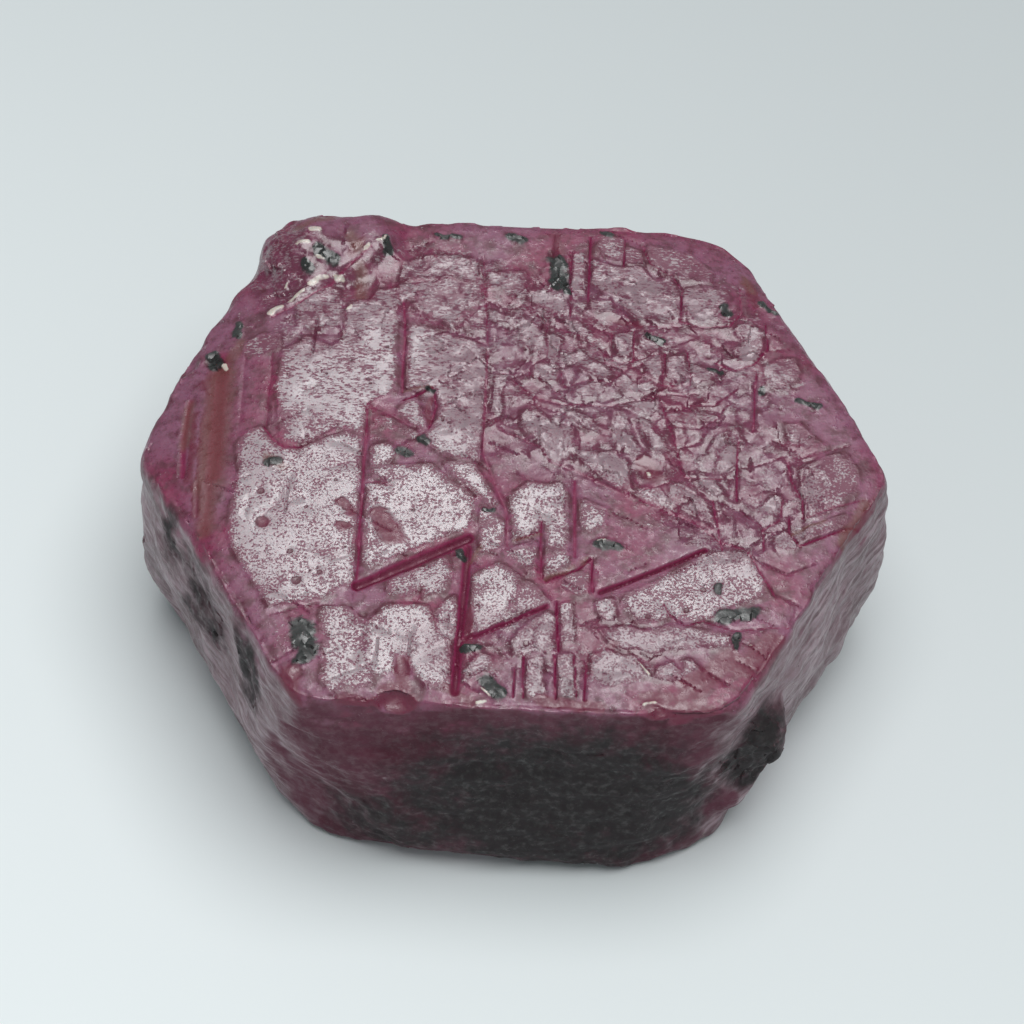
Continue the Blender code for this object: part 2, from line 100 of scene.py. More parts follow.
# Furrows of the upper face: half width, depth, the fall of the ground on the right-hand side when walking
# from the first point to the last, and x and y of each point in turn.
FURROWS = (
    (0.42, 0.28, 0.16, -8, -9.5, -2.2, -6),
    (0.17, 0.1, 0, -8.4, 3.1, -8, -9.3),
    (0.2, 0.08, -0.05, -2, 7.3, -1.8, -0.3, -0.3, -4.1, -0.2, -6.5),
    (0.34, 0.2, 0, -2.2, -6.6, -2.4, -16.1),
    (0.2, 0.22, 0.1, 4.9, -9.3, 10.5, -6.2),
    (0.12, 0.16, 0.05, 2, -8.7, 3.6, -7.9, 4.4, -7),
    (0.17, 0.17, 0.07, -2.2, -12.8, 2.2, -10.4),
    (0.1, 0.16, 0.04, -6.5, 3.4, -4.9, 4.5),
    (0.16, 0.11, 0, -4.9, 4.5, -4.6, 3.1, -4.9, 1.4),
    (0.07, 0.12, 0.03, 0.2, -6.1, 1.6, -5.4),
    (0.14, 0.1, 0, 1.6, -4.7, 1.8, -8.6),
    (0.2, 0.1, 0, 3.3, -1.8, 3.5, -7),
    (0.13, 0.14, 0, 4.4, -7.1, 4.5, -9.3),
    (0.12, 0.14, 0, 2.7, -10.1, 2.9, -13.2),
    (0.15, 0.06, 0.03, -8.2, 3, -4.9, 1.2),
    (0.18, 0.1, 0, -7, 10.8, -6.7, 7.8, -6.6, 4),
    (0.12, 0.06, 0.04, -6.6, 10.2, -3.9, 8.6, -2, 7.8),
    (0.11, 0.08, 0, -2.6, 14.6, -2, 7.7),
    (0.1, 0.06, 0, -2.5, 10.8, -3.8, 9),
    (0.13, 0.1, 0, -14, 1.1, -13.4, 0.1, -12.8, -0.3, -11.8, -0.3),
    (0.07, 0.08, 0.03, -12.5, -11.6, -9.8, -10.8, -8.4, -10.8, -8, -11.1),
    (0.09, 0.07, 0, -11, -7.2, -9.4, -7.8, -8.7, -7.7),
    (0.1, 0.08, 0, -13.5, -5.2, -12.6, -4, -12.6, -3.2),
    (0.12, 0.08, 0, -8, -2.6, -7.4, -2.5, -6.6, -2.8),
    (0.12, 0.07, 0, -10.1, -1.7, -9.3, -1.3, -8.5, -1.6),
    (0.1, 0.13, 0, 1.1, -13.7, 1.2, -16.2),
    (0.08, 0.12, 0, 0.6, -14.1, 0.7, -16.2),
    (0.12, 0.14, 0, 2.7, -13.5, 2.9, -16.2),
    (0.08, 0.12, 0, 3.7, -13.5, 4, -16.2),
    (0.1, 0.13, 0, 4.4, -13.2, 4.4, -16.2),
    (0.09, 0.11, 0.03, 8.3, -9.8, 8.7, -10.6, 9.5, -11.2, 10.4, -10.9, 12.1, -11.4, 15.5, -10.9),
    (0.12, 0.1, 0, 12.7, -6.2, 14.2, -9),
    (0.22, 0.07, 0.15, 3.3, -1.1, 5.8, -2.5, 8.4, -3.5, 11, -4.9),
    (0.14, 0.07, 0.08, -1, 1.6, 0.2, 1.1, 1.4, 0.3, 1.8, -0.5, 3.1, -1),
    (0.13, 0.11, 0, 12.2, 1.5, 12.1, -2.7),
    (0.12, 0.1, 0, 10.8, -2.8, 11.4, -6.1),
    (0.05, 0.08, 0, 12.2, -2.7, 14.6, -1.6),
    (0.1, 0.1, 0, 14.6, -2.6, 14.5, -4, 13.5, -4.7, 13.6, -6.1),
    (0.1, 0.13, 0.05, 15, -3.8, 15, -4.9, 15.5, -5.7, 19.4, -3.6),
    (0.12, 0.1, 0.04, 14.9, 0.1, 15.1, -1.2, 15.7, -2.6, 15.7, -3.9),
    (0.1, 0.08, 0.02, 15.6, 0.5, 18.3, 1.5),
    (0.14, 0.08, 0, 15.9, -3.9, 17.7, -2.8, 19.1, -2.2),
    (0.1, 0.11, 0, 13.7, 10.2, 13.8, 8.3, 13.1, 7.1, 12, 6.6, 10.9, 7.1),
    (0.13, 0.1, 0, 13.2, 6.5, 13, 2.2),
    (0.09, 0.1, 0.03, 8.8, 10, 8.9, 12.5, 8.3, 13.5, 7, 14.4, 6.6, 15.9),
    (0.1, 0.1, 0, 8.9, 10, 10, 9.7, 11.7, 9.8, 12.3, 10.9, 12.2, 13.1),
    (0.12, 0.12, 0, 3.5, 16.4, 3.6, 11.2),
    (0.08, 0.1, 0, 2.4, 15.2, 2.6, 11.2, 2.5, 9.8),
    (0.06, 0.1, 0, 5.5, 16.4, 5.5, 14),
    (0.09, 0.07, 0.03, -2.1, 11.1, -0.9, 10.4, -0.2, 10.9, 1.2, 9.6, 2.7, 8.9),
    (0.08, 0.07, 0, -2, 9.3, -0.7, 8.9, -0.2, 10.3),
    (0.08, 0.07, 0, 1.3, 9.9, 1.4, 7.1, 0.5, 6.3, 0.5, 5.4),
    (0.1, 0.08, 0.03, 2, 9.2, 3.9, 8.2, 5.1, 6.9, 5.8, 6.8, 8.2, 7.7),
    (0.08, 0.08, 0, 3.9, 9.4, 5, 9, 5, 7.5),
    (0.09, 0.1, 0, 6.2, 9.2, 6.3, 7.3, 6.1, 6.4),
    (0.08, 0.08, 0.03, 4.8, 11.6, 6.3, 9.6, 8.8, 9.7),
    (0.09, 0.1, 0, 8, 7.7, 8, 5.3, 9.5, 5.4, 9.3, 7.8),
    (0.09, 0.08, 0, 2.2, 6, 2.5, 4.9, 3.9, 5.4, 4.9, 5.2, 5.8, 6.2, 6.9, 6.9),
    (0.09, 0.07, 0.03, -1.2, 5.7, 0.5, 5.8, 2.2, 4.4, 2.6, 3.7),
    (0.11, 0.08, 0.04, -0.5, 5.3, 0.7, 4.1, 2.3, 3.6, 5, 3.6, 7.8, 4.6, 10, 4.8),
    (0.08, 0.07, 0.03, 0.5, 3.6, 2.3, 3, 4, 1.9, 5.2, 1.5),
    (0.1, 0.09, 0, 7.8, 4.3, 8.8, 0.9, 9.1, -0.8, 9.6, -1.5),
    (0.08, 0.09, 0, 8.5, 3.6, 9.5, 3.9, 10.9, 3.9, 12.1, 5.2),
    (0.08, 0.09, 0, 8.3, 2.3, 10.1, 2.2, 10.9, 2.8, 11.8, 4.2),
    (0.08, 0.09, 0, 8.8, 0.7, 10.1, 1.2, 10.5, 2.1),
    (0.09, 0.1, 0, 9.2, -1.2, 11, -1.3, 12.2, -1.1),
    (0.09, 0.08, 0, 12.4, -0.4, 13.9, 0, 14.8, 0.5),
    (0.09, 0.08, 0, 11.2, -2.9, 12.4, -3.5, 13.6, -4.6),
    (0.1, 0.1, 0.03, 6.9, -3, 9.6, -4.2, 11.2, -5.5, 12.6, -6),
    (0.08, 0.09, 0, 6.2, -2.5, 6.7, -2.5, 8.4, -1.7, 10, -2.6, 10.8, -2.8),
    (0.95, 0.12, 0, -17, 6.6, -16.5, -2.2),
    (0.6, 0.08, 0, -16.7, -0.4, -16.5, -6.4),
    (0.36, 0.11, 0, -18.5, 3.6, -18.5, 1, -18.2, -2),
    (0.22, 0.08, 0, -17.3, -2.6, -17.1, -5),
    (0.2, 0.05, 0, -15.6, 6.4, -15.4, 1.5),
    (0.12, 0.07, 0, -14.1, 6.7, -13.9, 1.3),
    (0.16, 0.1, 0, -14.4, 9.5, -11.3, 11.9, -9.1, 14.2),
    (0.1, 0.06, 0, -12.7, 8.1, -10.6, 8.1, -10.1, 9, -10.4, 10.4),
)
WALL_REACH = 1.1  # a trench's wall ends at this many half widths from its middle
FALL_LENGTH = 2.2  # distance over which a furrow's fall levels out again
FALL_REACH = 3.0 * FALL_LENGTH  # how far beside a furrow its fall is worked out
FALL_FADE = 0.8  # distance over which the fall fades beyond the furrow's ends
MARK_REACH = 1.3  # furrows and pits are worked out up to this many half widths away

# Round pits of the upper face: x and y of the centre, radius, depth.
PITS = (
    (-13.4, -5.6, 0.47, 0.09), (-13.7, -3.5, 0.29, 0.05), (-11.2, -9.4, 0.34, 0.07), (-10, -8.8, 0.2, 0.05),
    (-11.7, -7.5, 0.22, 0.05), (-7.5, -11.4, 0.29, 0.09), (1.2, -12.9, 0.22, 0.07),
    (10.4, -8.9, 0.22, 0.06), (9.5, -10.3, 0.22, 0.07), (7.5, -10.8, 0.22, 0.07), (5.8, -12.7, 0.27, 0.04),
    (7.4, -0.9, 0.68, 0.07), (10.5, 7.5, 0.22, 0.07), (11.4, 10.9, 0.38, 0.09), (13.5, 5, 0.31, 0.07),
    (6.8, 6.1, 0.22, 0.05), (-17.6, 6.5, 0.47, 0.14), (-9, -4.4, 0.27, 0.05), (-8.9, -5.6, 0.23, 0.05),
    (-4.6, -9.6, 0.22, 0.06), (16.3, 3.9, 0.22, 0.05), (-15.2, 11.7, 0.27, 0.05), (1.4, 15, 0.41, 0.11),
    (-10.6, -15.3, 0.41, 0.09), (-4.5, -16.1, 0.81, 0.1), (-5.2, -14.8, 0.54, 0.07),
)
PIT_WALL = (0.35, 1.15)  # start and end of a pit's wall, in radii

# Plates of the upper face, flat and shiny: how much each shines, and x and y of each corner in turn.
# The shine also sets how much pale colour a plate gets: partly frost, partly a painted reflection of the
# back softbox.
PLATES = (
    (0.82, -7.4, 11.7, -7, 3.9, -8.4, 3.1, -8.5, 0.8, -9.5, 1.3, -11.9, -0.1, -12.8, 0.2, -13.5, 3.4,
        -13.5, 6.9, -12.6, 7.3, -12.5, 7.9, -10.9, 7.1, -10.1, 7.8, -10.3, 9.8, -9.9, 10.5, -8.8, 10.8,
        -8.6, 11.5),
    (0.94, -14.8, 0.8, -14.1, 1, -12.9, -0.4, -11.9, -0.5, -9.5, 0.9, -8.5, 0.4, -8.3, -9.4, -9.9, -10.6,
        -11.4, -11, -12.5, -11, -14.9, -7.2, -15.2, -5.5, -15, -2.1, -15.4, -0.1),
    (0.5, -6.3, 12, -6.3, 10.9, -7.2, 10.9, -7.3, 11.9),
    (0.6, -2.6, 12.2, -2.6, 11.2, -4.1, 9.1, -6.5, 10.5, -6.1, 10.8, -6.1, 12.1, -4.4, 12.5),
    (0.35, -7.2, 13.8, -5.1, 14.4, -2.8, 14, -2.7, 12.5, -4.5, 12.7, -7.2, 12.4),
    (0.85, -6.6, 9.2, -2.7, 7.8, -2.1, 7.2, -1.9, 5.1, -2, -0.8, -3.7, -0.6, -5.3, 0.6, -4.5, 2, -4.5, 3.2,
        -4.8, 4.4, -5.7, 4.1, -6.3, 4.4),
    (0.8, -6.5, 3.2, -5.7, 3.6, -5.1, 1.4, -5.9, 1.8, -6.7, 2.6),
    (0.7, -7.9, 2.1, -7.2, 2, -5.1, 0.7, -5.7, 0.7, -6.7, 1.1, -7.8, 1.7),
    (0.8, -7, 0.2, -6.6, -0.4, -6.9, -1.2, -7.8, -1.5, -7.9, -0.1),
    (0.93, -4.6, -1.2, -2, -3.5, -2, -5.2, -7.3, -8.3, -7.8, -8.1, -7.9, -2.8, -7, -2.8, -7, -2.3,
        -7.7, -2.2, -7.8, -1.8, -6.8, -1.4),
    (0.9, -3.8, -1, -2.3, -1, -0.7, -3.8, -0.8, -4.2, -3.5, -1.7),
    (0.9, -1.7, -4, -0.4, -5, -0.5, -6.6, -0.9, -6.9, -1.5, -6.9),
    (1, -0.5, -7.7, 0.7, -8.6, 0.6, -9.9, -0.3, -11.6, -1.7, -12.3, -1.8, -8.5),
    (0.45, 1.2, -8.9, 2.2, -10, 2.1, -10.3, 0.1, -11.2, 0.8, -8.9),
    (1, -3.4, -7.4, -3, -8.4, -3.4, -9.8, -4.3, -10.1, -4.5, -9.4, -5, -9.5, -5.1, -10, -6.3, -10.1,
        -6.3, -9),
    (1, -6.3, -10.8, -4.1, -10.7, -3.5, -12.4, -2.8, -12.9, -2.6, -16, -3.8, -15.7, -4.6, -15, -5.1, -14,
        -5.6, -13.8, -5.6, -14.8, -6.1, -15.3, -6.6, -15.3, -7, -14.4, -7.2, -12.1),
    (0.75, -9.7, -11.1, -8.4, -11, -7.3, -11.9, -7, -14.4, -6.6, -15.4, -6.7, -16.2, -8, -16.2, -8.5, -16.5,
        -9.3, -15.7, -9.3, -13.1, -9.7, -12.1),
    (0.8, -2.7, -10.1, -2.5, -12.8, -2.8, -13, -3.5, -12.1, -3.6, -11.1, -3.2, -10.4),
    (0.9, -0.6, -13.8, -0.7, -14.4, -1.2, -15, -1.9, -15.4, -1.6, -14.3, -1.1, -13.7),
    (0.8, 2.3, -10.8, 2.7, -11.1, 2.5, -13.2, 1.3, -13.7, 0.6, -13.5, 0.4, -12.7, 1.3, -11.5),
    (0.95, 2, -13.7, 2.3, -16.1, 1.5, -16.2, 1.3, -13.8),
    (0.8, 3.5, -13.5, 3.9, -16.1, 3.1, -16.2, 2.9, -13.6),
    (0.8, 3.4, -10.2, 3.6, -12.5, 3.1, -12.5, 3, -10.3),
    (0.9, 4.8, -9.8, 5.6, -9.8, 5.8, -11.1, 5.2, -11.1, 4.9, -10.6),
    (0.82, 13.9, -9.1, 11.8, -9.9, 10.9, -10.7, 9.4, -11, 8.7, -10.6, 7.9, -11.2, 7.1, -11.3, 6.1, -10.1,
        6.2, -9.4, 8.4, -8.2, 10.5, -6.5, 11.8, -6.2, 12.8, -6.3),
    (0.85, 5, -11.8, 6.2, -11.5, 7.3, -11.8, 8.8, -11.3, 11.8, -11.8, 12, -12.5, 8.3, -13, 7.7, -13.3,
        7.1, -13, 6.3, -13, 5.5, -12.5),
    (0.8, 4.6, -13.4, 5.4, -13.1, 6.3, -13.4, 6.8, -13.3, 7.6, -14.6, 5.9, -15.4, 5.3, -15.4, 4.7, -14.8),
    (0.6, 7.9, -14.8, 8.2, -14.1, 8.8, -13.8, 9.3, -14.3, 9.4, -14.8),
    (0.6, 9.8, -13.5, 10.3, -14.1, 10.2, -14.8, 9.8, -15.1, 9.5, -14.7, 9.5, -13.6),
    (1, 0.9, -2.1, 1.9, -2.3, 2.5, -2.1, 2.9, -2.6, 3, -6.6, 2, -6.6, 1.9, -4.8, 1.5, -4.7, 1.5, -5.4,
        0.3, -6, -0.1, -3),
    (0.9, 3, -6.8, 3.2, -7.4, 2.8, -7.9, 2, -8.4, 2, -6.7),
    (0.8, -0.3, -6.9, 1.3, -6.2, 1.4, -8.5),
    (0.4, 4.2, -8.2, 4.2, -9.4, 3.7, -9.6, 2.9, -9.3, 2.8, -8.8, 3.5, -8.1),
    (0.8, 3.6, -3.1, 5.1, -3.7, 5, -4.8, 4.3, -5.3, 3.8, -4.7),
    (0.9, 3.1, 0.4, 4.6, 0.1, 5.4, 0.3, 6.1, -0.4, 6.3, -2.3, 5.7, -2.2, 4.9, -1.6, 3.4, -0.2),
    (0.9, 0.2, 2.8, 0.8, 3, 2.2, 2, 3.1, 1.8, 3, -0.5, 2.5, -0.8, 1.9, -0.5, 1.4, 0.1, 1.4, 0.7, 0.3, 1.6),
    (0.8, 2.6, 2.8, 3.2, 3, 4.9, 1.7, 4.5, 1.5, 3.4, 2, 2.7, 2.4),
    (0.6, 6.1, 3.7, 7.7, 4.1, 7.7, 3.3, 7.3, 3),
    (0.95, 6.8, 2.6, 7.2, 2.4, 8.3, 0.6, 8, 0.2, 7.6, 0.5, 7.2, 1.2),
    (0.5, 5.2, 3.3, 6, 3, 6.3, 1.2, 7.1, 0.1, 5.5, 0.7, 5.2, 1.8),
    (0.7, -0.8, 5.4, -1.1, 4.4, -1, 2.8, -1.4, 2.8, -1.4, 5.4),
    (0.9, 6.4, -2.5, 7.8, -2.1, 8.4, -2.9, 8.3, -3.4, 7.6, -3.3),
    (0.55, 8.4, -1.8, 9, -1.9, 9.8, -2.4, 10, -2.9, 8.6, -2.4),
    (0.95, 9.1, -3.4, 10.2, -2.7, 10.5, -3, 11, -4.6),
    (1, 10.1, -1.5, 10.8, -1.6, 11.4, -2.4, 11, -2.6, 10.3, -2.1),
    (0.95, 11.7, 1, 12.1, 0.8, 12, -0.7, 11.3, -1.1, 11, -0.7, 11.3, 0.5),
    (0.95, 10.6, 0.5, 11.1, 1.7, 11.6, 1.9, 11.4, 1.2, 10.8, 0.4),
    (1, 14.5, -2.3, 14.5, -3.4, 14, -3.8, 13.5, -3.2, 13.9, -2.6),
    (0.85, 14.7, -4.8, 15.4, -5.8, 14.9, -6.1, 14.3, -5.9, 14.2, -5.4),
    (0.3, 18, 0.9, 18.7, -0.3, 18.7, -1.8, 16.5, -3.7, 15.8, -3.9, 15.6, -0.5, 16.7, 0.4),
    (0.3, 18.1, -3.4, 18, -4.1, 15.9, -5.3, 15.9, -4.6),
    (0.35, 14.8, 2.7, 15.6, 2.8, 16.4, 1.7, 17, 1.3, 15.9, 1.1, 15, 1.6),
    (0.4, 15.3, 7.6, 15.6, 6.6, 15, 5.5, 14.5, 5.1, 13.8, 5.6, 13.7, 6.9, 14.4, 7.4),
    (0.6, -2.2, 13.1, -0.2, 13.4, 0, 11.5, -0.8, 11.6, -1.5, 12.1, -2.2, 12),
    (0.55, -2, 10.3, -0.6, 9.7, -0.3, 10.4, -0.2, 9.5, -0.7, 9.2, -1.9, 9.6),
    (0.75, 0.2, 11.9, 2.3, 11.6, 2.4, 10.5, 2, 10.1, 0.2, 11.2),
    (0.7, -0.1, 9.8, 1.2, 8.8, 1.2, 7.6, 0.8, 7.2, -0.7, 8.2, -0.2, 8.7),
    (0.4, 1.4, 8.5, 2, 8.4, 1.8, 6.3, 1.5, 6.8),
    (0.6, 2.2, 9.9, 3.1, 9.6, 3.9, 8.6, 3.5, 8.2, 2.8, 8.8),
    (0.7, 2.6, 14.8, 3.1, 14.8, 3.2, 12.1, 2.7, 12.1),
    (0.7, 3.7, 14.4, 5.4, 13.9, 6.4, 14.1, 7.3, 13.1, 8.1, 13.4, 8.7, 12.3, 8.7, 10.3, 7.2, 10, 5.6, 11.6,
        4.7, 11.8, 3.7, 12.6),
    (0.8, 5.4, 11.8, 7, 10.1, 6.5, 9.9, 5.7, 10.7),
    (0.5, 3.7, 11.3, 4.8, 11.3, 4.9, 10.5, 4.3, 10.4, 3.8, 10.7),
    (0.8, 6.1, 8.9, 6.2, 7.7, 5.8, 7.1, 5.3, 7.7, 5.2, 8.8),
    (0.6, 2.5, 7.1, 3.2, 7.4, 4.2, 6.7, 5.1, 6, 4.8, 5.4, 4.1, 5.5, 2.5, 6.7),
    (0.45, 0.6, 6.3, 1.5, 6.3, 2.1, 6, 2, 5.3, 1.4, 5.3, 0.7, 5.7),
    (0.6, 4.9, 5.2, 4.6, 4.5, 3.9, 4.1, 3.2, 4.1, 3.1, 4.5, 4, 5.1),
    (0.5, 4.1, 16.4, 5.5, 16.2, 5.4, 14.5, 4.6, 14.7, 4, 15.5),
    (0.45, 5.6, 15.6, 6.4, 15.3, 6.6, 14.4, 5.7, 14.3),
    (0.35, 6.9, 15.9, 9.3, 15.4, 10.6, 14.1, 10.4, 13.3, 8.8, 13.2, 7.7, 13.8, 6.9, 14.5),
    (0.5, 11.5, 12.6, 11.6, 11.8, 10.9, 10.3, 9.4, 10.2, 9, 11.4, 9.1, 12.5, 10.3, 12.8),
    (0.65, 6.6, 9, 7.3, 8.7, 7.6, 8.1, 7.1, 7.6, 6.6, 8.1),
    (0.6, 7.6, 7.7, 7.9, 6.2, 7.6, 5.6, 6.7, 6.9),
    (0.8, 9.1, 7.4, 9.2, 6.1, 8.7, 5.5, 8.2, 5.9, 8.2, 7.2),
    (0.75, 12.7, 10, 13.5, 9.5, 13.5, 8, 12.9, 7.3, 12.1, 7.2, 11.9, 8, 12.6, 8.5, 12, 9.5),
    (0.6, 10.9, 6.4, 10.7, 5.8, 9.8, 5.3, 9.5, 5.8, 9.8, 6.7),
    (0.6, 5.2, 5.5, 5.8, 5.8, 6.1, 5.1, 7.2, 5.3, 7.6, 5, 6.5, 4.6, 5.3, 4.9),
    (0.45, -13.2, 11, -12.3, 11.6, -10.8, 11.6, -10.4, 9.7, -10.6, 8.5, -11.7, 8.5, -12.8, 8.9),
    (0.4, -13.8, 7.9, -13.8, 7, -14.7, 6.5, -15.6, 6.6, -15.8, 7.6, -14.9, 8.1),
)
PLATE_MARGIN = 0.10  # how far each plate reaches beyond its outline
PLATE_LIFT = 0.06
PLATE_EDGE = 0.05  # half the width of a plate's sloping edge
PLATE_UNEVENNESS = 0.02  # how far the plates' levels differ
PLATE_TILT = 0.006
PLATE_SEED = 33
SMALL_PLATE = 2.0  # plates narrower than this have a narrower border
GROUND_BOWL = 0.04  # extra depth of the ground away from the plates
GROUND_REACH = 0.30

# Ground that carries some pale frost and painted reflection too: centre, half sizes, shine.
FROST_AND_SHEEN_GROUND = (
    ((4.8, 6), (10, 8), 0.84),
    ((12.2, -1.8), (4.6, 5.4), 0.85),
    ((-6.5, 12), (6.5, 3.4), 0.6),
    ((-12, 12.6), (3.4, 2.6), 0.7),
    ((3, -13.2), (8, 2.6), 0.55),
    ((-11.6, 8.6), (2.6, 2.4), 0.6),
    ((-14.2, 12.8), (1.8, 2.8), 0.95),
)
FROST_AND_SHEEN_EDGE = (0.8, 1.25)  # where that frost and painted reflection start to thin out and end, in half sizes

# Coloured marks on the upper face: x and y of the two ends of each, and its half width.
MARKS = {
    "inclusion": (
        (-10.7, -12.3, -10.2, -13.9, 0.75), (-10.4, -14.2, -10.5, -14.5, 0.45),
        (4.8, -6.1, 5.7, -6.3, 0.42), (-0.8, -15.3, 0, -16, 0.5), (-2.1, -13.3, -1.4, -13.3, 0.28),
        (11.4, -10.6, 13, -10.2, 0.5), (11.2, -8.7, 11.2, -9, 0.28), (-6.4, -0.3, -5.9, -0.5, 0.36),
        (-13.5, -1.5, -13, -1.4, 0.36), (-5.2, 0.6, -4.9, 0.4, 0.26), (1.6, 14.3, 1.9, 12.4, 0.62),
        (2.2, 12.1, 2.4, 11.8, 0.3), (-12, 13.6, -11.2, 13.2, 0.48), (-12.8, 12.8, -12.5, 12.4, 0.36),
        (-8.3, 15, -8.1, 14.1, 0.3), (-16.3, 9.1, -16.3, 8.2, 0.34), (11.3, 11.2, 11.5, 10.8, 0.36),
        (13.5, 5.2, 13.5, 4.9, 0.26), (12.2, -11.7, 12.1, -12.6, 0.22), (15.4, 4.5, 16.7, 4.2, 0.22),
        (-2.6, -6.9, -2.5, -7.3, 0.3), (-1.5, -4.2, -1, -4.2, 0.17), (10.6, 6.5, 11.2, 6.4, 0.22),
        (7, 8.7, 7.8, 8.4, 0.25), (4.3, 16.8, 4.7, 16.6, 0.3), (-1.2, 16.2, -0.4, 15.9, 0.35),
        (-5.3, 16, -4.1, 15.9, 0.25), (13.4, 11.9, 14.2, 11.2, 0.25), (-17.6, 6.9, -17.3, 6.2, 0.5),
        (-5.1, 4.3, -4.8, 4.1, 0.2),
    ),
    "crimson": (
        (-9.2, -4, -8.7, -4.8, 0.3), (-9.2, -5.5, -8.7, -5.7, 0.24), (-7.2, -4.7, -6.3, -6.3, 0.62),
        (-5.2, -14.3, -5, -15.9, 0.42), (5.6, -12.7, 5.8, -12.7, 0.26), (7, -0.4, 7.6, -1.3, 0.62),
        (-10.3, -2, -10.2, -2, 0.18), (-9.2, -2.6, -9.1, -2.7, 0.15), (-5.9, -16.2, -4.7, -16.8, 0.62),
        (7.6, -15.9, 8.5, -15.9, 0.4), (9.8, -15.4, 11.8, -13.4, 0.85), (8.3, -16.8, 10.8, -16.8, 0.9),
        (12.4, -13.8, 14.2, -12, 0.75), (-11, -15.3, -10.6, -18.1, 0.7), (-8, -16.9, -6.6, -17, 0.6),
        (17.9, -6.5, 19.9, -2.3, 0.7), (-17.7, 4.9, -16.9, 6.4, 0.6), (-17.5, 5.2, -17.2, -4.8, 0.34),
        (-18.1, 2.6, -17.9, -2.4, 0.22), (1.5, 16.3, 1.8, 15.2, 0.45), (-1.9, -10.9, -1.9, -12.8, 0.3),
        (-5, 3.6, -5, 2, 0.24), (-9.5, 14.6, -10.2, 13.6, 0.35), (4.8, 10.1, 6.6, 9.6, 0.25),
        (2.1, -16.4, 5.2, -16.6, 0.4), (-2.6, -16, -1.5, -16.6, 0.35), (-13.4, -5.5, -13.3, -5.7, 0.3),
        (12.6, 13.8, 13.2, 11.9, 0.4),
    ),
    "pale": (
        (-12.6, 15, -12.2, 15, 0.32), (-13.3, 13.9, -12.8, 13.9, 0.28), (7.3, -1.1, 7.3, -1.2, 0.18),
        (-16.8, 6.1, -16.7, 5.8, 0.22), (-1.2, -16.6, -0.7, -16.5, 0.16), (7.5, -16.4, 8.1, -16.2, 0.2),
        (-14.6, 9.8, -14, 10.3, 0.26), (-13.9, 11.6, -13.8, 11.8, 0.14), (-13.6, 10.6, -12.9, 11.3, 0.22),
        (-12.5, 11.7, -11.6, 12.2, 0.24), (-11, 12.3, -10.6, 12.3, 0.24), (-10.2, 10, -9.9, 10.2, 0.18),
        (-9.5, 13.8, -9.2, 14.2, 0.13), (-8.8, 14.5, -8.3, 15, 0.15), (-12.1, 13.2, -11.7, 13.1, 0.16),
        (12.9, -12.4, 13, -12.4, 0.14), (7, -13.6, 7.6, -14.6, 0.1), (4.7, -5.9, 5.1, -5.8, 0.1),
        (-1.1, -15.7, -0.5, -16.2, 0.1),
    ),
    "rust": (
        (-10.4, 14.9, -9.8, 14, 0.4), (-9.6, 12.9, -9.5, 11.2, 0.42), (-16.8, 5.4, -16.6, -3, 0.95),
        (-16.6, -3, -16.5, -6, 0.6), (-16.5, 6.6, -16, 7.6, 0.4), (-18.5, 3.4, -18.4, 0.2, 0.34),
        (-13.6, -1.1, -12.8, -1.7, 0.36), (-6.5, 4, -5, 4.5, 0.1), (0.2, -6.1, 1.6, -5.5, 0.09),
        (2, -8.7, 4.2, -7.1, 0.1), (-1.6, -6.5, -2.1, -7.6, 0.14), (19.1, -2.4, 17.7, -5.2, 0.3),
        (15, -4.9, 16.9, -4, 0.12), (12.4, 14.2, 12.9, 13, 0.3), (-13.4, 15.4, -11.7, 16.6, 0.4),
    ),
}
MARK_EDGE = (0.2, 1.5)  # where a mark starts to thin out and ends, in half widths
INCLUSION_LIFT = 0.10
CRUMB_LIFT = 0.08

# Fine marks scattered over the upper face, the scratches all along the three growth directions.
SCATTER_LOW = (-17.0, -15.5)
SCATTER_HIGH = (17.0, 16.5)
GROWTH_DIRECTIONS = (90.0, 30.0, -30.0)
SCRATCH_SEED = 21
SCRATCH_COUNT = 110
SCRATCH_TURN = 3.0  # most that a scratch turns out of its direction (deg)
SCRATCH_HALF_LENGTH = (0.3, 1.4)
SCRATCH_HALF_WIDTH = (0.05, 0.10)
SCRATCH_DEPTH = 1.5  # depth of a scratch for each mm of its half width
TINY_PIT_SEED = 23
TINY_PIT_COUNT = 190
TINY_PIT_RADIUS = (0.05, 0.15)
TINY_PIT_DEPTH = 0.4  # depth of a tiny pit for each mm of its radius

# Smooth random relief: size of its bumps (one for all axes, or one for each), height, seed.
BUMPS = {
    "lumps": (1.7, 0.35, 14),
    "furrow width": (0.9, 0.22, 10),
    "upper waves": ((5.0, 5.0, 9.0), 0.07, 3),
    "upper ripples": ((1.9, 1.4, 9.0), 0.02, 4),
    "upper grain": ((0.5, 0.4, 9.0), 0.005, 16),
    "facet ripples": ((1.15, 0.75, 9.0), 0.105, 50),
    "fine facet ripples": ((0.55, 0.38, 9.0), 0.035, 51),
    "growth lines": ((6.0, 6.0, 0.9), 0.11, 5),
    "fine growth lines": ((3.2, 3.2, 0.3), 0.035, 17),
    "swells": (5.0, 0.42, 6),
    "roughness": (1.3, 0.16, 7),
    "fine roughness": (0.5, 0.04, 18),
    "matrix grain": (0.32, 0.2, 19),
}

# Flat facets like the faces of broken crystals: size, tilt, seed.
CHIPS = {
    "inclusion": (0.55, 0.35, 43),
    "matrix": (0.9, 1.0, 44),
    "glassy ground": (1.3, 0.10, 48),
    "rim": (0.8, 0.16, 49),
}

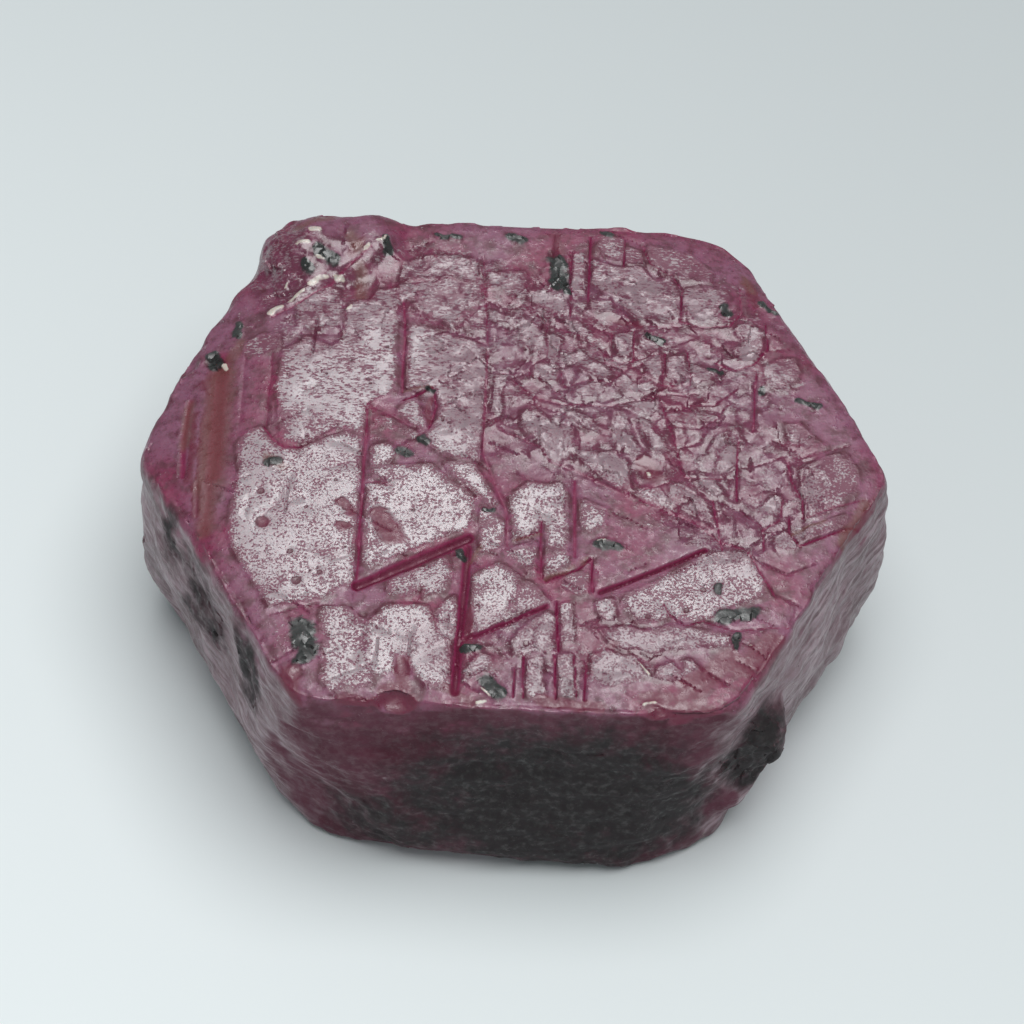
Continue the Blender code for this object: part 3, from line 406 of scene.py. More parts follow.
# How straight lines waver: size of the bends, reach, and a seed for each axis.
SWAYS = {
    "furrows": (1.3, 0.05, (8, 9)),
    "plates": (0.55, 0.06, (31, 32)),
    "marks": (0.5, 0.12, (41, 42)),
    "matrix": (2.6, 1.3, (45, 46, 47)),
}
NOISE_CELLS = 32
CHIP_CELLS = 16

# Dark matrix patches on the prism faces: centre, half sizes, cover, and tilt of their broken faces.
MATRIX_PATCHES = (
    ((3.8, -17, 6.8), (9.6, 3, 7.2), 1, 0.05),
    ((-6, -16.8, 3.8), (4, 2.6, 3.6), 0.7, 0.05),
    ((-18.6, -4.4, 12.4), (1.1, 1.6, 2.2), 0.7, 0.08),
    ((-17.2, -7.6, 10.4), (1.5, 3, 4.2), 0.65, 0.08),
    ((-13.8, -12.4, 11.2), (1.2, 2.2, 3.4), 0.75, 0.08),
    ((13.6, -14, 8), (2.4, 3.4, 3.4), 1, 0.22),
    ((6.5, 17.4, 4.6), (5.6, 3, 2.6), 1, 0.2),
    ((2, 17.4, 9), (2.4, 2.2, 2), 0.9, 0.14),
    ((-19.8, 8.6, 5), (2, 2.6, 3.2), 0.9, 0.18),
)
MATRIX_RELIEF = (0.5, 1.3)  # where the broken faces start to fade and end
MATRIX_COLOUR = (0.0, 1.9)  # the same for the dark colour

# Where the relief and the masks start and are full, by one part of the outward direction.
UPPER_RELIEF = (0.60, 0.88)
LOWER_RELIEF = (0.60, 0.95)
UPPER_FACING = (0.10, 0.55)
MARK_FACING = (0.10, 0.45)
BACK_FACING = (-0.05, 0.45)
# The grey film of the side faces is partly a painted reflection of the surroundings.
FILM_AND_SHEEN_FACING = (-0.92, -0.70)
LESS_FILM_AND_SHEEN_BEHIND = 0.45  # how much less of the grey film, partly painted reflection, the back faces carry
UPPER_LEVEL = (HEIGHT - 3.2, HEIGHT - 2.2)  # heights between which the upper face's masks set in
SHINE_BORDER = (-0.28, 0.50)  # distances into a plate between which its shine sets in
FURROW_SHADE = 0.20  # depth at which a furrow has its full dark colour, partly painted shade
PIT_SHADE = 0.05  # the same for a pit's painted shade

# Camera: fitted to the furrow directions in the photograph (1024 x 1024).
CAMERA_AZIMUTH = 3.0 - 90.0  # 3 degrees to the right of the front
CAMERA_ELEVATION = 52.0
FOCAL_PIXELS = 3000.0
PHOTO_SIDE_PIXELS = 1024.0
SENSOR_MM = 36.0
PIXELS_PER_MM = 18.5
AIM = (0.0, -4.2, HEIGHT)
NEAREST_SEEN = 0.01

# Lights: name, azimuth and elevation (deg), distance and width (m), brightness beside a white sheet in full
# light, and whether it lights matt surfaces as well as glossy ones.
SOFTBOXES = (
    ("back softbox", 94.0, 57.0, 0.60, 0.18, 5.6, False),
    ("top fill", 335.0, 82.0, 0.34, 0.30, 4.5, True),
)
ROOM_COLOUR = (0.86, 0.93, 0.95, 1.0)
ROOM_BRIGHTNESS = 0.28
FLOOR_SIDE = 3.0
FLOOR_FADE = 110.0  # distance from the crystal at which the floor has its end colours (mm)
FLOOR_ROUGHNESS = 0.75


# ---------------------------------------------------------------- form


def smooth_rise(values, low, high):
    """0 below low, 1 above high, and an S curve between them."""
    t = np.clip((values - low) / (high - low), 0.0, 1.0)
    return t * t * (3.0 - 2.0 * t)


def lattice_noise(points, size, seed):
    """Smooth random heights between -1 and 1, with bumps about as large as size."""
    table = np.random.default_rng(seed).uniform(-1.0, 1.0, (NOISE_CELLS,) * 3)
    scaled = points / np.asarray(size, float)
    corner = np.floor(scaled).astype(int)
    part = scaled - corner
    part = part * part * (3.0 - 2.0 * part)
    total = np.zeros(len(points))
    for step in np.ndindex(2, 2, 2):
        near = np.where(step, part, 1.0 - part)
        total += near.prod(axis=1) * table[tuple(((corner + step) % NOISE_CELLS).T)]
    return total


def bumps(points, *names):
    """The sum of these rows of BUMPS."""
    total = np.zeros(len(points))
    for name in names:
        size, height, seed = BUMPS[name]
        total += lattice_noise(points, size, seed) * height
    return total


def swayed(points, name):
    """The points moved a little at random along each axis that has a seed. The other axes are left out."""
    size, reach, seeds = SWAYS[name]
    sway = np.column_stack([lattice_noise(points, size, seed) for seed in seeds])
    return points[:, :len(seeds)] + reach * sway


def chip_heights(points, name):
    """Heights of this row of CHIPS."""
    size, tilt, seed = CHIPS[name]
    random = np.random.default_rng(seed)
    jitter = random.uniform(0.0, 1.0, (CHIP_CELLS,) * 3 + (3,))
    slopes = random.uniform(-tilt, tilt, (CHIP_CELLS,) * 3 + (3,))
    scaled = points / size
    corner = np.floor(scaled).astype(int)
    nearest = np.full(len(points), np.inf)
    heights = np.zeros(len(points))
    for step in np.ndindex(3, 3, 3):
        cell = corner + step - 1
        index = tuple((cell % CHIP_CELLS).T)
        offset = scaled - cell - jitter[index]
        distance = (offset**2).sum(axis=1)
        closer = distance < nearest
        nearest[closer] = distance[closer]
        heights[closer] = (offset * slopes[index]).sum(axis=1)[closer] * size
    return heights


def in_box(flat, low, high):
    """Which points lie between the two corners."""
    return np.flatnonzero(((flat > low) & (flat < high)).all(axis=1))


def segment_distance(flat, start, end):
    """Distance to the straight line between two points."""
    along = np.subtract(end, start)
    offset = flat - start
    run = np.clip(offset @ along / (along @ along), 0.0, 1.0)
    return np.hypot(*(offset - run[:, None] * along).T)


def direction(azimuth, elevation):
    """Unit vector in this compass direction and this far above the horizon (deg)."""
    turn = math.radians(azimuth)
    rise = math.radians(elevation)
    return np.array((math.cos(turn) * math.cos(rise), math.sin(turn) * math.cos(rise), math.sin(rise)))


def face_planes():
    """Unit normals and offsets of the crystal's faces."""
    normals = []
    offsets = []
    for azimuth, lean, reach, level in FACES:
        normal = direction(azimuth, lean)
        touch = reach * direction(azimuth, 0.0) + (0.0, 0.0, level)
        normals.append(normal)
        offsets.append(normal @ touch)
    return np.array(normals), np.array(offsets)


def rounded_body(points, normals, offsets):
    """Signed distance of each point from the body with its rounded corners, and the outward direction."""
    over = points @ normals.T - offsets
    share = np.exp(EDGE_SHARPNESS * (over - over.max(axis=1, keepdims=True)))
    total = share.sum(axis=1, keepdims=True)
    distance = over.max(axis=1) + np.log(total[:, 0]) / EDGE_SHARPNESS
    outward = (share / total) @ normals
    lumps = (LUMPS, 1.0, LUMP_BLEND, bumps(points, "lumps"))
    hollows = (HOLLOWS, -1.0, HOLLOW_BLEND, 0.0)
    for balls, side, soft, uneven in (lumps, hollows):
        for centre, radius in balls:
            away = points - centre
            length = np.linalg.norm(away, axis=1) + uneven
            from_ball = side * (length - radius)
            blend = smooth_rise(side * (distance - from_ball), -soft, soft)
            distance = distance * (1.0 - blend) + from_ball * blend
            blend = blend[:, None]
            outward = outward * (1.0 - blend) + side * away / length[:, None] * blend
    return distance, outward / np.linalg.norm(outward, axis=1, keepdims=True)


def settle_on_body(points):
    """Moves the points onto the rounded body, and returns them with the outward direction at each."""
    normals, offsets = face_planes()
    for _ in range(SETTLE_STEPS):
        distance, outward = rounded_body(points, normals, offsets)
        points = points - outward * distance[:, None]
    return points, rounded_body(points, normals, offsets)[1]


def scattered_scratches():
    """Short fine furrows at seeded places, in the form of FURROWS."""
    random = np.random.default_rng(SCRATCH_SEED)
    marks = []
    for _ in range(SCRATCH_COUNT):
        middle = random.uniform(SCATTER_LOW, SCATTER_HIGH)
        turn = random.choice(GROWTH_DIRECTIONS) + random.uniform(-SCRATCH_TURN, SCRATCH_TURN)
        reach = random.uniform(*SCRATCH_HALF_LENGTH) * direction(turn, 0.0)[:2]
        width = random.uniform(*SCRATCH_HALF_WIDTH)
        marks.append((width, width * SCRATCH_DEPTH, 0.0, *(middle - reach), *(middle + reach)))
    return marks


def scattered_pits():
    """Tiny pits at seeded places, in the form of PITS."""
    random = np.random.default_rng(TINY_PIT_SEED)
    marks = []
    for _ in range(TINY_PIT_COUNT):
        centre = random.uniform(SCATTER_LOW, SCATTER_HIGH)
        radius = random.uniform(*TINY_PIT_RADIUS)
        marks.append((*centre, radius, radius * TINY_PIT_DEPTH))
    return tuple(marks)


def furrow_relief(points, furrows):
    """Fall of the ground beside the furrows, and depth of their trenches."""
    flat = swayed(points, "furrows")
    uneven = 1.0 + bumps(points, "furrow width")
    trench = np.zeros(len(flat))
    ground = np.zeros(len(flat))
    for half_width, depth, fall, *numbers in furrows:
        route = np.reshape(numbers, (-1, 2))
        for start, end in zip(route[:-1], route[1:]):
            along = end - start
            length = np.hypot(*along)
            along = along / length
            margin = MARK_REACH * half_width + (FALL_REACH if fall else 0.0)
            near = in_box(flat, np.minimum(start, end) - margin, np.maximum(start, end) + margin)
            offset = flat[near] - start
            run = offset @ along
            side = offset @ (along[1], -along[0])
            beyond = np.maximum(np.maximum(-run, run - length), 0.0)
            distance = np.hypot(side, beyond) * uneven[near] / half_width
            wall = depth * (1.0 - smooth_rise(distance, 0.0, WALL_REACH))
            trench[near] = np.maximum(trench[near], wall)
            if fall:
                window = np.exp(-((beyond / FALL_FADE) ** 2)) * smooth_rise(side, -half_width, half_width)
                level = fall * window * np.exp(-np.maximum(side, 0.0) / FALL_LENGTH)
                ground[near] -= level / (len(route) - 1)
    return ground, trench


def furrow_heights(points):
    ground, trench = furrow_relief(points, [*FURROWS, *scattered_scratches()])
    return ground - trench


def pit_heights(flat):
    heights = np.zeros(len(flat))
    for x, y, radius, depth in PITS + scattered_pits():
        centre = np.array((x, y))
        near = in_box(flat, centre - MARK_REACH * radius, centre + MARK_REACH * radius)
        distance = np.hypot(*(flat[near] - centre).T)
        heights[near] -= depth * (1.0 - smooth_rise(distance / radius, *PIT_WALL))
    return heights


def outline_distance(flat, outline):
    """Distance to the outline, positive inside it."""
    nearest = np.full(len(flat), np.inf)
    inside = np.zeros(len(flat), bool)
    for start, end in zip(outline, np.roll(outline, -1, axis=0)):
        nearest = np.minimum(nearest, segment_distance(flat, start, end))
        crosses = (flat[:, 1] < start[1]) != (flat[:, 1] < end[1])
        if crosses.any():
            meets = start[0] + (flat[:, 1] - start[1]) * (end[0] - start[0]) / (end[1] - start[1])
            inside ^= crosses & (flat[:, 0] < meets)
    return np.where(inside, nearest, -nearest)


def plate_relief(points):
    """Height of the plates above the ground, the distance into the nearest plate, and how much it shines.

    The distance counts more on a small plate, which so has a narrow border."""
    flat = swayed(points, "plates")
    random = np.random.default_rng(PLATE_SEED)
    depth_in = np.full(len(flat), -GROUND_REACH)
    heights = np.zeros(len(flat))
    shine = np.zeros(len(flat))
    for brightness, *numbers in PLATES:
        outline = np.reshape(numbers, (-1, 2))
        level, tilt_x, tilt_y = random.uniform(-1.0, 1.0, 3)
        low = np.min(outline, axis=0) - GROUND_REACH
        high = np.max(outline, axis=0) + GROUND_REACH
        near = in_box(flat, low, high)
        distance = outline_distance(flat[near], outline) + PLATE_MARGIN
        rise = smooth_rise(distance, -PLATE_EDGE, PLATE_EDGE)
        away = flat[near] - (low + high) / 2.0
        lift = PLATE_LIFT + PLATE_UNEVENNESS * level + PLATE_TILT * (away @ (tilt_x, tilt_y))
        heights[near] = np.maximum(heights[near], lift * rise)
        narrow = SMALL_PLATE / min(SMALL_PLATE, (high - low).min() - 2.0 * GROUND_REACH)
        distance = np.where(distance > 0.0, distance * narrow, distance)
        closer = distance > depth_in[near]
        shine[near[closer]] = brightness
        depth_in[near[closer]] = distance[closer]
    heights -= GROUND_BOWL * smooth_rise(-depth_in, 0.0, GROUND_REACH)
    return heights, depth_in, shine


def ground_shine(flat):
    """How much pale frost and painted reflection the ground carries."""
    shine = np.zeros(len(flat))
    for centre, half, brightness in FROST_AND_SHEEN_GROUND:
        away = np.hypot(*((flat - centre) / half).T)
        shine = np.maximum(shine, brightness * (1.0 - smooth_rise(away, *FROST_AND_SHEEN_EDGE)))
    return shine


def mark_strength(points, kind):
    """1 inside the marks of this kind and 0 away from them."""
    flat = swayed(points, "marks")
    strength = np.zeros(len(flat))
    for start_x, start_y, end_x, end_y, half_width in MARKS[kind]:
        distance = segment_distance(flat, (start_x, start_y), (end_x, end_y)) / half_width
        strength = np.maximum(strength, 1.0 - smooth_rise(distance, *MARK_EDGE))
    return strength


def mark_heights(points):
    lifted = INCLUSION_LIFT + chip_heights(points, "inclusion")
    return mark_strength(points, "inclusion") * lifted + mark_strength(points, "pale") * CRUMB_LIFT


def upper_face_heights(points):
    flat = points[:, :2]
    marks = furrow_heights(points) + pit_heights(flat) + mark_heights(points)
    facets = chip_heights(points * (1.0, 1.0, 0.0), "glassy ground")
    facets += bumps(points, "facet ripples", "fine facet ripples")
    waves = bumps(points, "upper waves", "upper ripples", "upper grain")
    return marks + plate_relief(points)[0] + facets * ground_shine(flat) + waves


def matrix_strength(points, inner, outer):
    """How far the matrix covers the crystal, and the tilt of the broken faces there."""
    wandered = swayed(points, "matrix")
    strength = np.zeros(len(points))
    tilt = np.zeros(len(points))
    for centre, half, cover, patch_tilt in MATRIX_PATCHES:
        away = (((wandered - centre) / half) ** 2).sum(axis=1)
        here = 1.0 - smooth_rise(away, inner, outer)
        strength = np.maximum(strength, here * cover)
        tilt = np.maximum(tilt, here * patch_tilt)
    return strength, tilt


def prism_face_heights(points):
    """Level growth lines, broad swells and a coarse roughness."""
    heights = bumps(points, "growth lines", "fine growth lines", "swells", "roughness", "fine roughness")
    chips = chip_heights(points, "matrix") + bumps(points, "matrix grain")
    return heights + chips * matrix_strength(points, *MATRIX_RELIEF)[1]


def carve_relief(points):
    """Adds the relief of every face. The resting face stays flat."""
    points, outward = settle_on_body(points)
    upper = smooth_rise(outward[:, 2], *UPPER_RELIEF)
    lower = smooth_rise(-outward[:, 2], *LOWER_RELIEF)
    shift = outward * (prism_face_heights(points) * (1.0 - upper) * (1.0 - lower))[:, None]
    shift[:, 2] += upper_face_heights(points) * upper
    rim = 4.0 * upper * (1.0 - upper)  # 1 halfway from the side to the upper face
    shift += outward * (chip_heights(points, "rim") * rim)[:, None]
    points = points + shift
    points[:, 2] = np.maximum(points[:, 2], 0.0)
    return points


def flat_sided_block():
    """A block cut down by the crystal's faces."""
    block = bmesh.new()
    bmesh.ops.create_cube(block, size=BLOCK_SIDE)
    for normal, offset in zip(*face_planes()):
        everything = block.verts[:] + block.edges[:] + block.faces[:]
        touch = Vector(normal) * offset
        bmesh.ops.bisect_plane(block, geom=everything, plane_co=touch, plane_no=normal, clear_outer=True)
        rim = [edge for edge in block.edges if edge.is_boundary]
        bmesh.ops.holes_fill(block, edges=rim)
    mesh = bpy.data.meshes.new("crystal")
    block.to_mesh(mesh)
    block.free()
    return mesh


def modified_mesh(crystal):
    """The crystal's mesh with its modifiers taken in."""
    graph = bpy.context.evaluated_depsgraph_get()
    mesh = bpy.data.meshes.new_from_object(crystal.evaluated_get(graph))
    crystal.modifiers.clear()
    return mesh


def vertex_array(mesh, what="co"):
    """The places of the mesh's vertices, or their normals."""
    flat = np.empty(len(mesh.vertices) * 3, np.float32)
    mesh.vertices.foreach_get(what, flat)
    return flat.reshape(-1, 3).astype(float)


def place_vertices(mesh, points):
    mesh.vertices.foreach_set("co", points.astype(np.float32).ravel())
    mesh.update()


def centre_shift(points):
    centre = (points.min(axis=0) + points.max(axis=0)) / 2.0
    return np.array((centre[0], centre[1], 0.0))


def make_crystal():
    crystal = bpy.data.objects.new("crystal", flat_sided_block())
    bpy.context.scene.collection.objects.link(crystal)
    even = crystal.modifiers.new("even grid", "REMESH")
    even.mode = "VOXEL"
    even.voxel_size = GRID_STEP
    crystal.data = modified_mesh(crystal)
    place_vertices(crystal.data, carve_relief(vertex_array(crystal.data)))

    crystal.data.calc_loop_triangles()
    fewer = crystal.modifiers.new("fewer faces", "DECIMATE")
    fewer.ratio = min(1.0, FACE_COUNT / len(crystal.data.loop_triangles))
    fewer.use_collapse_triangulate = True
    crystal.data = modified_mesh(crystal)

    points = vertex_array(crystal.data)
    paint_masks(crystal.data, points)
    shift = centre_shift(points)
    place_vertices(crystal.data, (points - shift) * MM)
    crystal.data.shade_smooth()
    crystal.data.set_sharp_from_angle(angle=math.radians(SHARP_ANGLE))
    even_normals = crystal.modifiers.new("even normals", "WEIGHTED_NORMAL")
    even_normals.mode = "FACE_AREA"
    even_normals.keep_sharp = True
    crystal.data = modified_mesh(crystal)
    return crystal, shift


# ---------------------------------------------------------------- masks


def store_mask(mesh, name, values):
    mesh.attributes.new(name, "FLOAT", "POINT").data.foreach_set("value", values.astype(np.float32))


def paint_masks(mesh, points):
    """Vertex masks that the material reads."""
    flat = points[:, :2]
    normals = vertex_array(mesh, "normal")
    level = smooth_rise(points[:, 2], *UPPER_LEVEL)
    facing = smooth_rise(normals[:, 2], *MARK_FACING) * level
    depth_in, shine = plate_relief(points)[1:]
    # How much pale frost and painted reflection each place carries.
    frost_and_sheen_cover = np.maximum(shine * smooth_rise(depth_in, *SHINE_BORDER), ground_shine(flat))
    trench = furrow_relief(points, FURROWS)[1]
    behind = LESS_FILM_AND_SHEEN_BEHIND * smooth_rise(normals[:, 1], *BACK_FACING)
    masks = {
        "upper": smooth_rise(normals[:, 2], *UPPER_FACING) * level,
        "furrow": np.clip(trench / FURROW_SHADE, 0.0, 1.0) * level,
        "pit": np.clip(-pit_heights(flat) / PIT_SHADE, 0.0, 1.0) * level,
        "rim": np.where(facing > 0.5, depth_in, 0.0),
        "facets": ground_shine(flat) * facing,
        "shine": frost_and_sheen_cover * facing,
        "matrix": matrix_strength(points, *MATRIX_COLOUR)[0],
        "film_and_sheen": smooth_rise(normals[:, 1], *FILM_AND_SHEEN_FACING) - behind,
    }
    for name, values in masks.items():
        store_mask(mesh, name, values)
    for kind in MARKS:
        store_mask(mesh, kind, mark_strength(points, kind) * facing)


# ---------------------------------------------------------------- material


EVEN = (1.0, 1.0, 1.0)

# Noises of the material: size (mm), detail, roughness, and stretch along x, y and z.
NOISES = {
    "broad": (5.0, 3.0, 0.5, EVEN),
    "mottle": (1.1, 5.0, 0.6, EVEN),
    "grain": (0.45, 4.0, 0.6, EVEN),
    "fine stains": (0.34, 4.0, 0.7, EVEN),
    "speckle": (0.13, 3.0, 0.65, EVEN),
    "drawn-out speckle": (0.15, 3.0, 0.65, (1.9, 0.8, 1.0)),
    "clumps": (0.6, 2.0, 0.5, EVEN),
    "blotches": (1.5, 4.0, 0.6, EVEN),
    "rim wander": (0.7, 4.0, 0.65, EVEN),
    "film and sheen streaks": (0.36, 5.0, 0.62, (7.0, 7.0, 1.0)),
    "film and sheen patches": (3.2, 3.0, 0.5, EVEN),
}
PINHOLE_SIZE = 0.42
DRAWN_OUT = (-3.0, 5.0)  # the speckle turns drawn out between these two places on the way back (mm)
RIM_WANDER = 0.8
MATRIX_BREAKUP = 1.3


class Graph:
    """Small helper to lay out shader nodes."""

    def __init__(self, name):
        self.material = bpy.data.materials.new(name)
        self.material.use_nodes = True
        self.tree = self.material.node_tree
        self.shader = self.tree.nodes["Principled BSDF"]

    def put(self, kind, sockets, **settings):
        """A new node with these settings, and with a number or another node's output in these sockets."""
        node = self.tree.nodes.new(kind)
        for key, value in settings.items():
            setattr(node, key, value)
        self.fill(node, sockets)
        return node

    def fill(self, node, sockets):
        for key, value in sockets.items():
            if isinstance(value, bpy.types.NodeSocket):
                self.tree.links.new(value, node.inputs[key])
            else:
                node.inputs[key].default_value = value

    def coordinates(self, stretch=EVEN):
        """Object coordinates in millimetres, stretched along the axes."""
        source = self.put("ShaderNodeTexCoord", {}).outputs["Object"]
        scale = [1.0 / (MM * s) for s in stretch]
        return self.put("ShaderNodeMapping", {"Vector": source, "Scale": scale}).outputs["Vector"]

    def along(self, axis):
        """The object coordinate along one axis, in millimetres."""
        return self.put("ShaderNodeSeparateXYZ", {0: self.coordinates()}).outputs[axis]

    def noise(self, name):
        """This row of NOISES."""
        size, detail, roughness, stretch = NOISES[name]
        sockets = {"Scale": 1.0 / size, "Detail": detail, "Roughness": roughness}
        sockets["Vector"] = self.coordinates(stretch)
        return self.put("ShaderNodeTexNoise", sockets).outputs["Fac"]

    def cells(self, size):
        sockets = {"Vector": self.coordinates(), "Scale": 1.0 / size}
        return self.put("ShaderNodeTexVoronoi", sockets).outputs["Distance"]

    def mask(self, name):
        return self.put("ShaderNodeAttribute", {}, attribute_name=name).outputs["Fac"]

    def rise(self, value, low, high, start=0.0, end=1.0):
        """From start to end on an S curve while value goes from low to high."""
        sockets = {"Value": value, "From Min": low, "From Max": high, "To Min": start, "To Max": end}
        return self.put("ShaderNodeMapRange", sockets, interpolation_type="SMOOTHSTEP").outputs["Result"]

    def maths(self, operation, *values):
        return self.put("ShaderNodeMath", dict(enumerate(values)), operation=operation).outputs[0]

    def times(self, first, second):
        return self.maths("MULTIPLY", first, second)

    def most(self, first, second):
        return self.maths("MAXIMUM", first, second)

    def blend(self, share, first, second):
        """A number between first and second."""
        return self.put("ShaderNodeMix", {0: share, 2: first, 3: second}, data_type="FLOAT").outputs[0]

    def mix(self, share, first, second):
        """A colour between first and second."""
        return self.put("ShaderNodeMix", {0: share, 6: first, 7: second}, data_type="RGBA").outputs[2]

    def bump(self, height, distance, strength, under=None):
        """Fine relief of this depth in millimetres, on top of the relief under it."""
        sockets = {"Height": height, "Distance": distance * MM, "Strength": strength}
        if under is not None:
            sockets["Normal"] = under
        return self.put("ShaderNodeBump", sockets).outputs["Normal"]


MAUVE = (0.225, 0.068, 0.130, 1.0)
CRIMSON = (0.210, 0.014, 0.066, 1.0)
DEEP_RED = (0.085, 0.005, 0.020, 1.0)
WET_PLUM = (0.110, 0.020, 0.048, 1.0)
PLATE_BODY = (0.165, 0.042, 0.078, 1.0)
# Pale colour of the plates: partly frost, partly a painted reflection of the back softbox.
PLATE_FROST_AND_SHEEN = (0.400, 0.325, 0.350, 1.0)
CRIMSON_SPOT = (0.140, 0.010, 0.038, 1.0)
SIDE_MAROON = (0.070, 0.012, 0.024, 1.0)
SIDE_PURPLE = (0.120, 0.032, 0.054, 1.0)
# Grey film of the side faces: partly a film, partly a painted reflection of the surroundings.
GREY_FILM_AND_SHEEN = (0.360, 0.245, 0.285, 1.0)
MATRIX_DARK = (0.013, 0.013, 0.013, 1.0)
MATRIX_GREEN = (0.024, 0.027, 0.025, 1.0)
CRUMB_CREAM = (0.550, 0.500, 0.440, 1.0)
RUST = (0.150, 0.055, 0.040, 1.0)
FLOOR_FRONT = (0.90, 0.96, 0.97, 1.0)
FLOOR_BACK = (0.56, 0.60, 0.61, 1.0)
FULL_GLOSS = (1.0, 1.0, 1.0, 1.0)
FAINT_GLOSS = (0.50, 0.38, 0.42, 1.0)

# How the cover of pale frost and painted reflection adds up: from the shine, blotches, the distance to the
# rim, clumps and the speckle. It sets in where the sum goes from the start value to the full value below.
SHINE_SHARE = 0.36
BLOTCH_SHARE = 0.70
RIM_SHARE = 0.20
CLUMP_SHARE = 0.55
SPECKLE_CONTRAST = 1.9
FACET_CONTRAST = 1.2  # contrast of the speckle among the small glassy facets
FACET_FROST_AND_SHEEN = 0.42  # how thick the pale frost and painted reflection are there
FROST_AND_SHEEN_START = 0.93
FROST_AND_SHEEN_FULL = 1.17

# Roughness where the grain is darkest and brightest, or all over.
MATT_SIDE = (0.80, 0.50)
FILM_AND_SHEEN_SIDE = (0.48, 0.30)
MATT_GROUND = (0.62, 0.26)
MATRIX_ROUGHNESS = (0.80, 0.42)
PLATE_ROUGHNESS = 0.46
FROST_AND_SHEEN_ROUGHNESS = 0.24
GLASS_ROUGHNESS = 0.17
CORUNDUM_IOR = 1.77
GLOW_SHARE = 0.2
GLOW_COLOUR = (1.0, 0.22, 0.30)
GLOW_REACH = 0.8


def plate_masks(graph):
    """Where the plates are, and how much of them carries pale frost and a painted reflection."""
    behind = graph.rise(graph.along("Y"), *DRAWN_OUT)
    speckle = graph.blend(behind, graph.noise("speckle"), graph.noise("drawn-out speckle"))
    wander = graph.maths("SUBTRACT", graph.noise("rim wander"), 0.5)
    rim = graph.maths("MULTIPLY_ADD", wander, RIM_WANDER, graph.mask("rim"))
    inside = graph.rise(rim, -0.08, 0.36)
    blotches = graph.times(graph.noise("blotches"), BLOTCH_SHARE)
    cover = graph.maths("MULTIPLY_ADD", graph.mask("shine"), SHINE_SHARE, blotches)
    cover = graph.maths("MULTIPLY_ADD", inside, RIM_SHARE, cover)
    cover = graph.maths("MULTIPLY_ADD", graph.noise("clumps"), CLUMP_SHARE, cover)
    contrast = graph.blend(graph.mask("facets"), SPECKLE_CONTRAST, FACET_CONTRAST)
    cover = graph.maths("MULTIPLY_ADD", graph.maths("SUBTRACT", speckle, 0.5), contrast, cover)
    frost_and_sheen = graph.rise(cover, FROST_AND_SHEEN_START, FROST_AND_SHEEN_FULL)
    frost_and_sheen = graph.times(frost_and_sheen, graph.blend(graph.mask("facets"), 1.0, FACET_FROST_AND_SHEEN))
    pinholes = graph.rise(graph.cells(PINHOLE_SIZE), 0.10, 0.22)
    return inside, graph.times(frost_and_sheen, pinholes)


def broken_mask(graph, name, patchy, low, high):
    """A painted mask with its border broken up by a noise."""
    return graph.rise(graph.maths("ADD", patchy, graph.mask(name)), low, high)


def side_colour(graph, broad):
    # Grey film on the side faces, partly a painted reflection of the surroundings.
    streaks = graph.rise(graph.noise("film and sheen streaks"), 0.36, 0.66)
    patches = graph.rise(graph.noise("film and sheen patches"), 0.38, 0.60, 0.45, 1.0)
    film_and_sheen = graph.times(streaks, graph.times(graph.mask("film_and_sheen"), patches))
    side = graph.mix(graph.rise(broad, 0.35, 0.65), SIDE_MAROON, SIDE_PURPLE)
    return graph.mix(film_and_sheen, side, GREY_FILM_AND_SHEEN)


def upper_colour(graph, broad, mottle, border, frost_and_sheen):
    colour = graph.mix(graph.rise(broad, 0.35, 0.60), CRIMSON, MAUVE)
    colour = graph.mix(graph.rise(mottle, 0.42, 0.66, 0.0, 0.8), colour, DEEP_RED)
    colour = graph.mix(graph.rise(graph.noise("fine stains"), 0.50, 0.66, 0.0, 0.5), colour, DEEP_RED)
    near_rim = graph.rise(graph.mask("rim"), -0.24, -0.10)
    outline = graph.times(near_rim, graph.rise(mottle, 0.40, 0.55, 0.0, 0.7))
    colour = graph.mix(outline, colour, DEEP_RED)
    colour = graph.mix(border, colour, PLATE_BODY)
    colour = graph.mix(graph.times(graph.mask("facets"), 0.55), colour, WET_PLUM)
    # Pale frost with a painted reflection of the back softbox over the plates and the glassy ground.
    colour = graph.mix(frost_and_sheen, colour, PLATE_FROST_AND_SHEEN)
    # Crimson in the furrows is the crystal's own; the deep red further down in furrows and pits is painted
    # shade.
    furrow = graph.mask("furrow")
    colour = graph.mix(graph.rise(furrow, 0.1, 0.6), colour, CRIMSON)
    colour = graph.mix(graph.rise(furrow, 0.4, 0.9, 0.0, 0.75), colour, DEEP_RED)
    return graph.mix(graph.rise(graph.mask("pit"), 0.2, 0.9, 0.0, 0.8), colour, DEEP_RED)


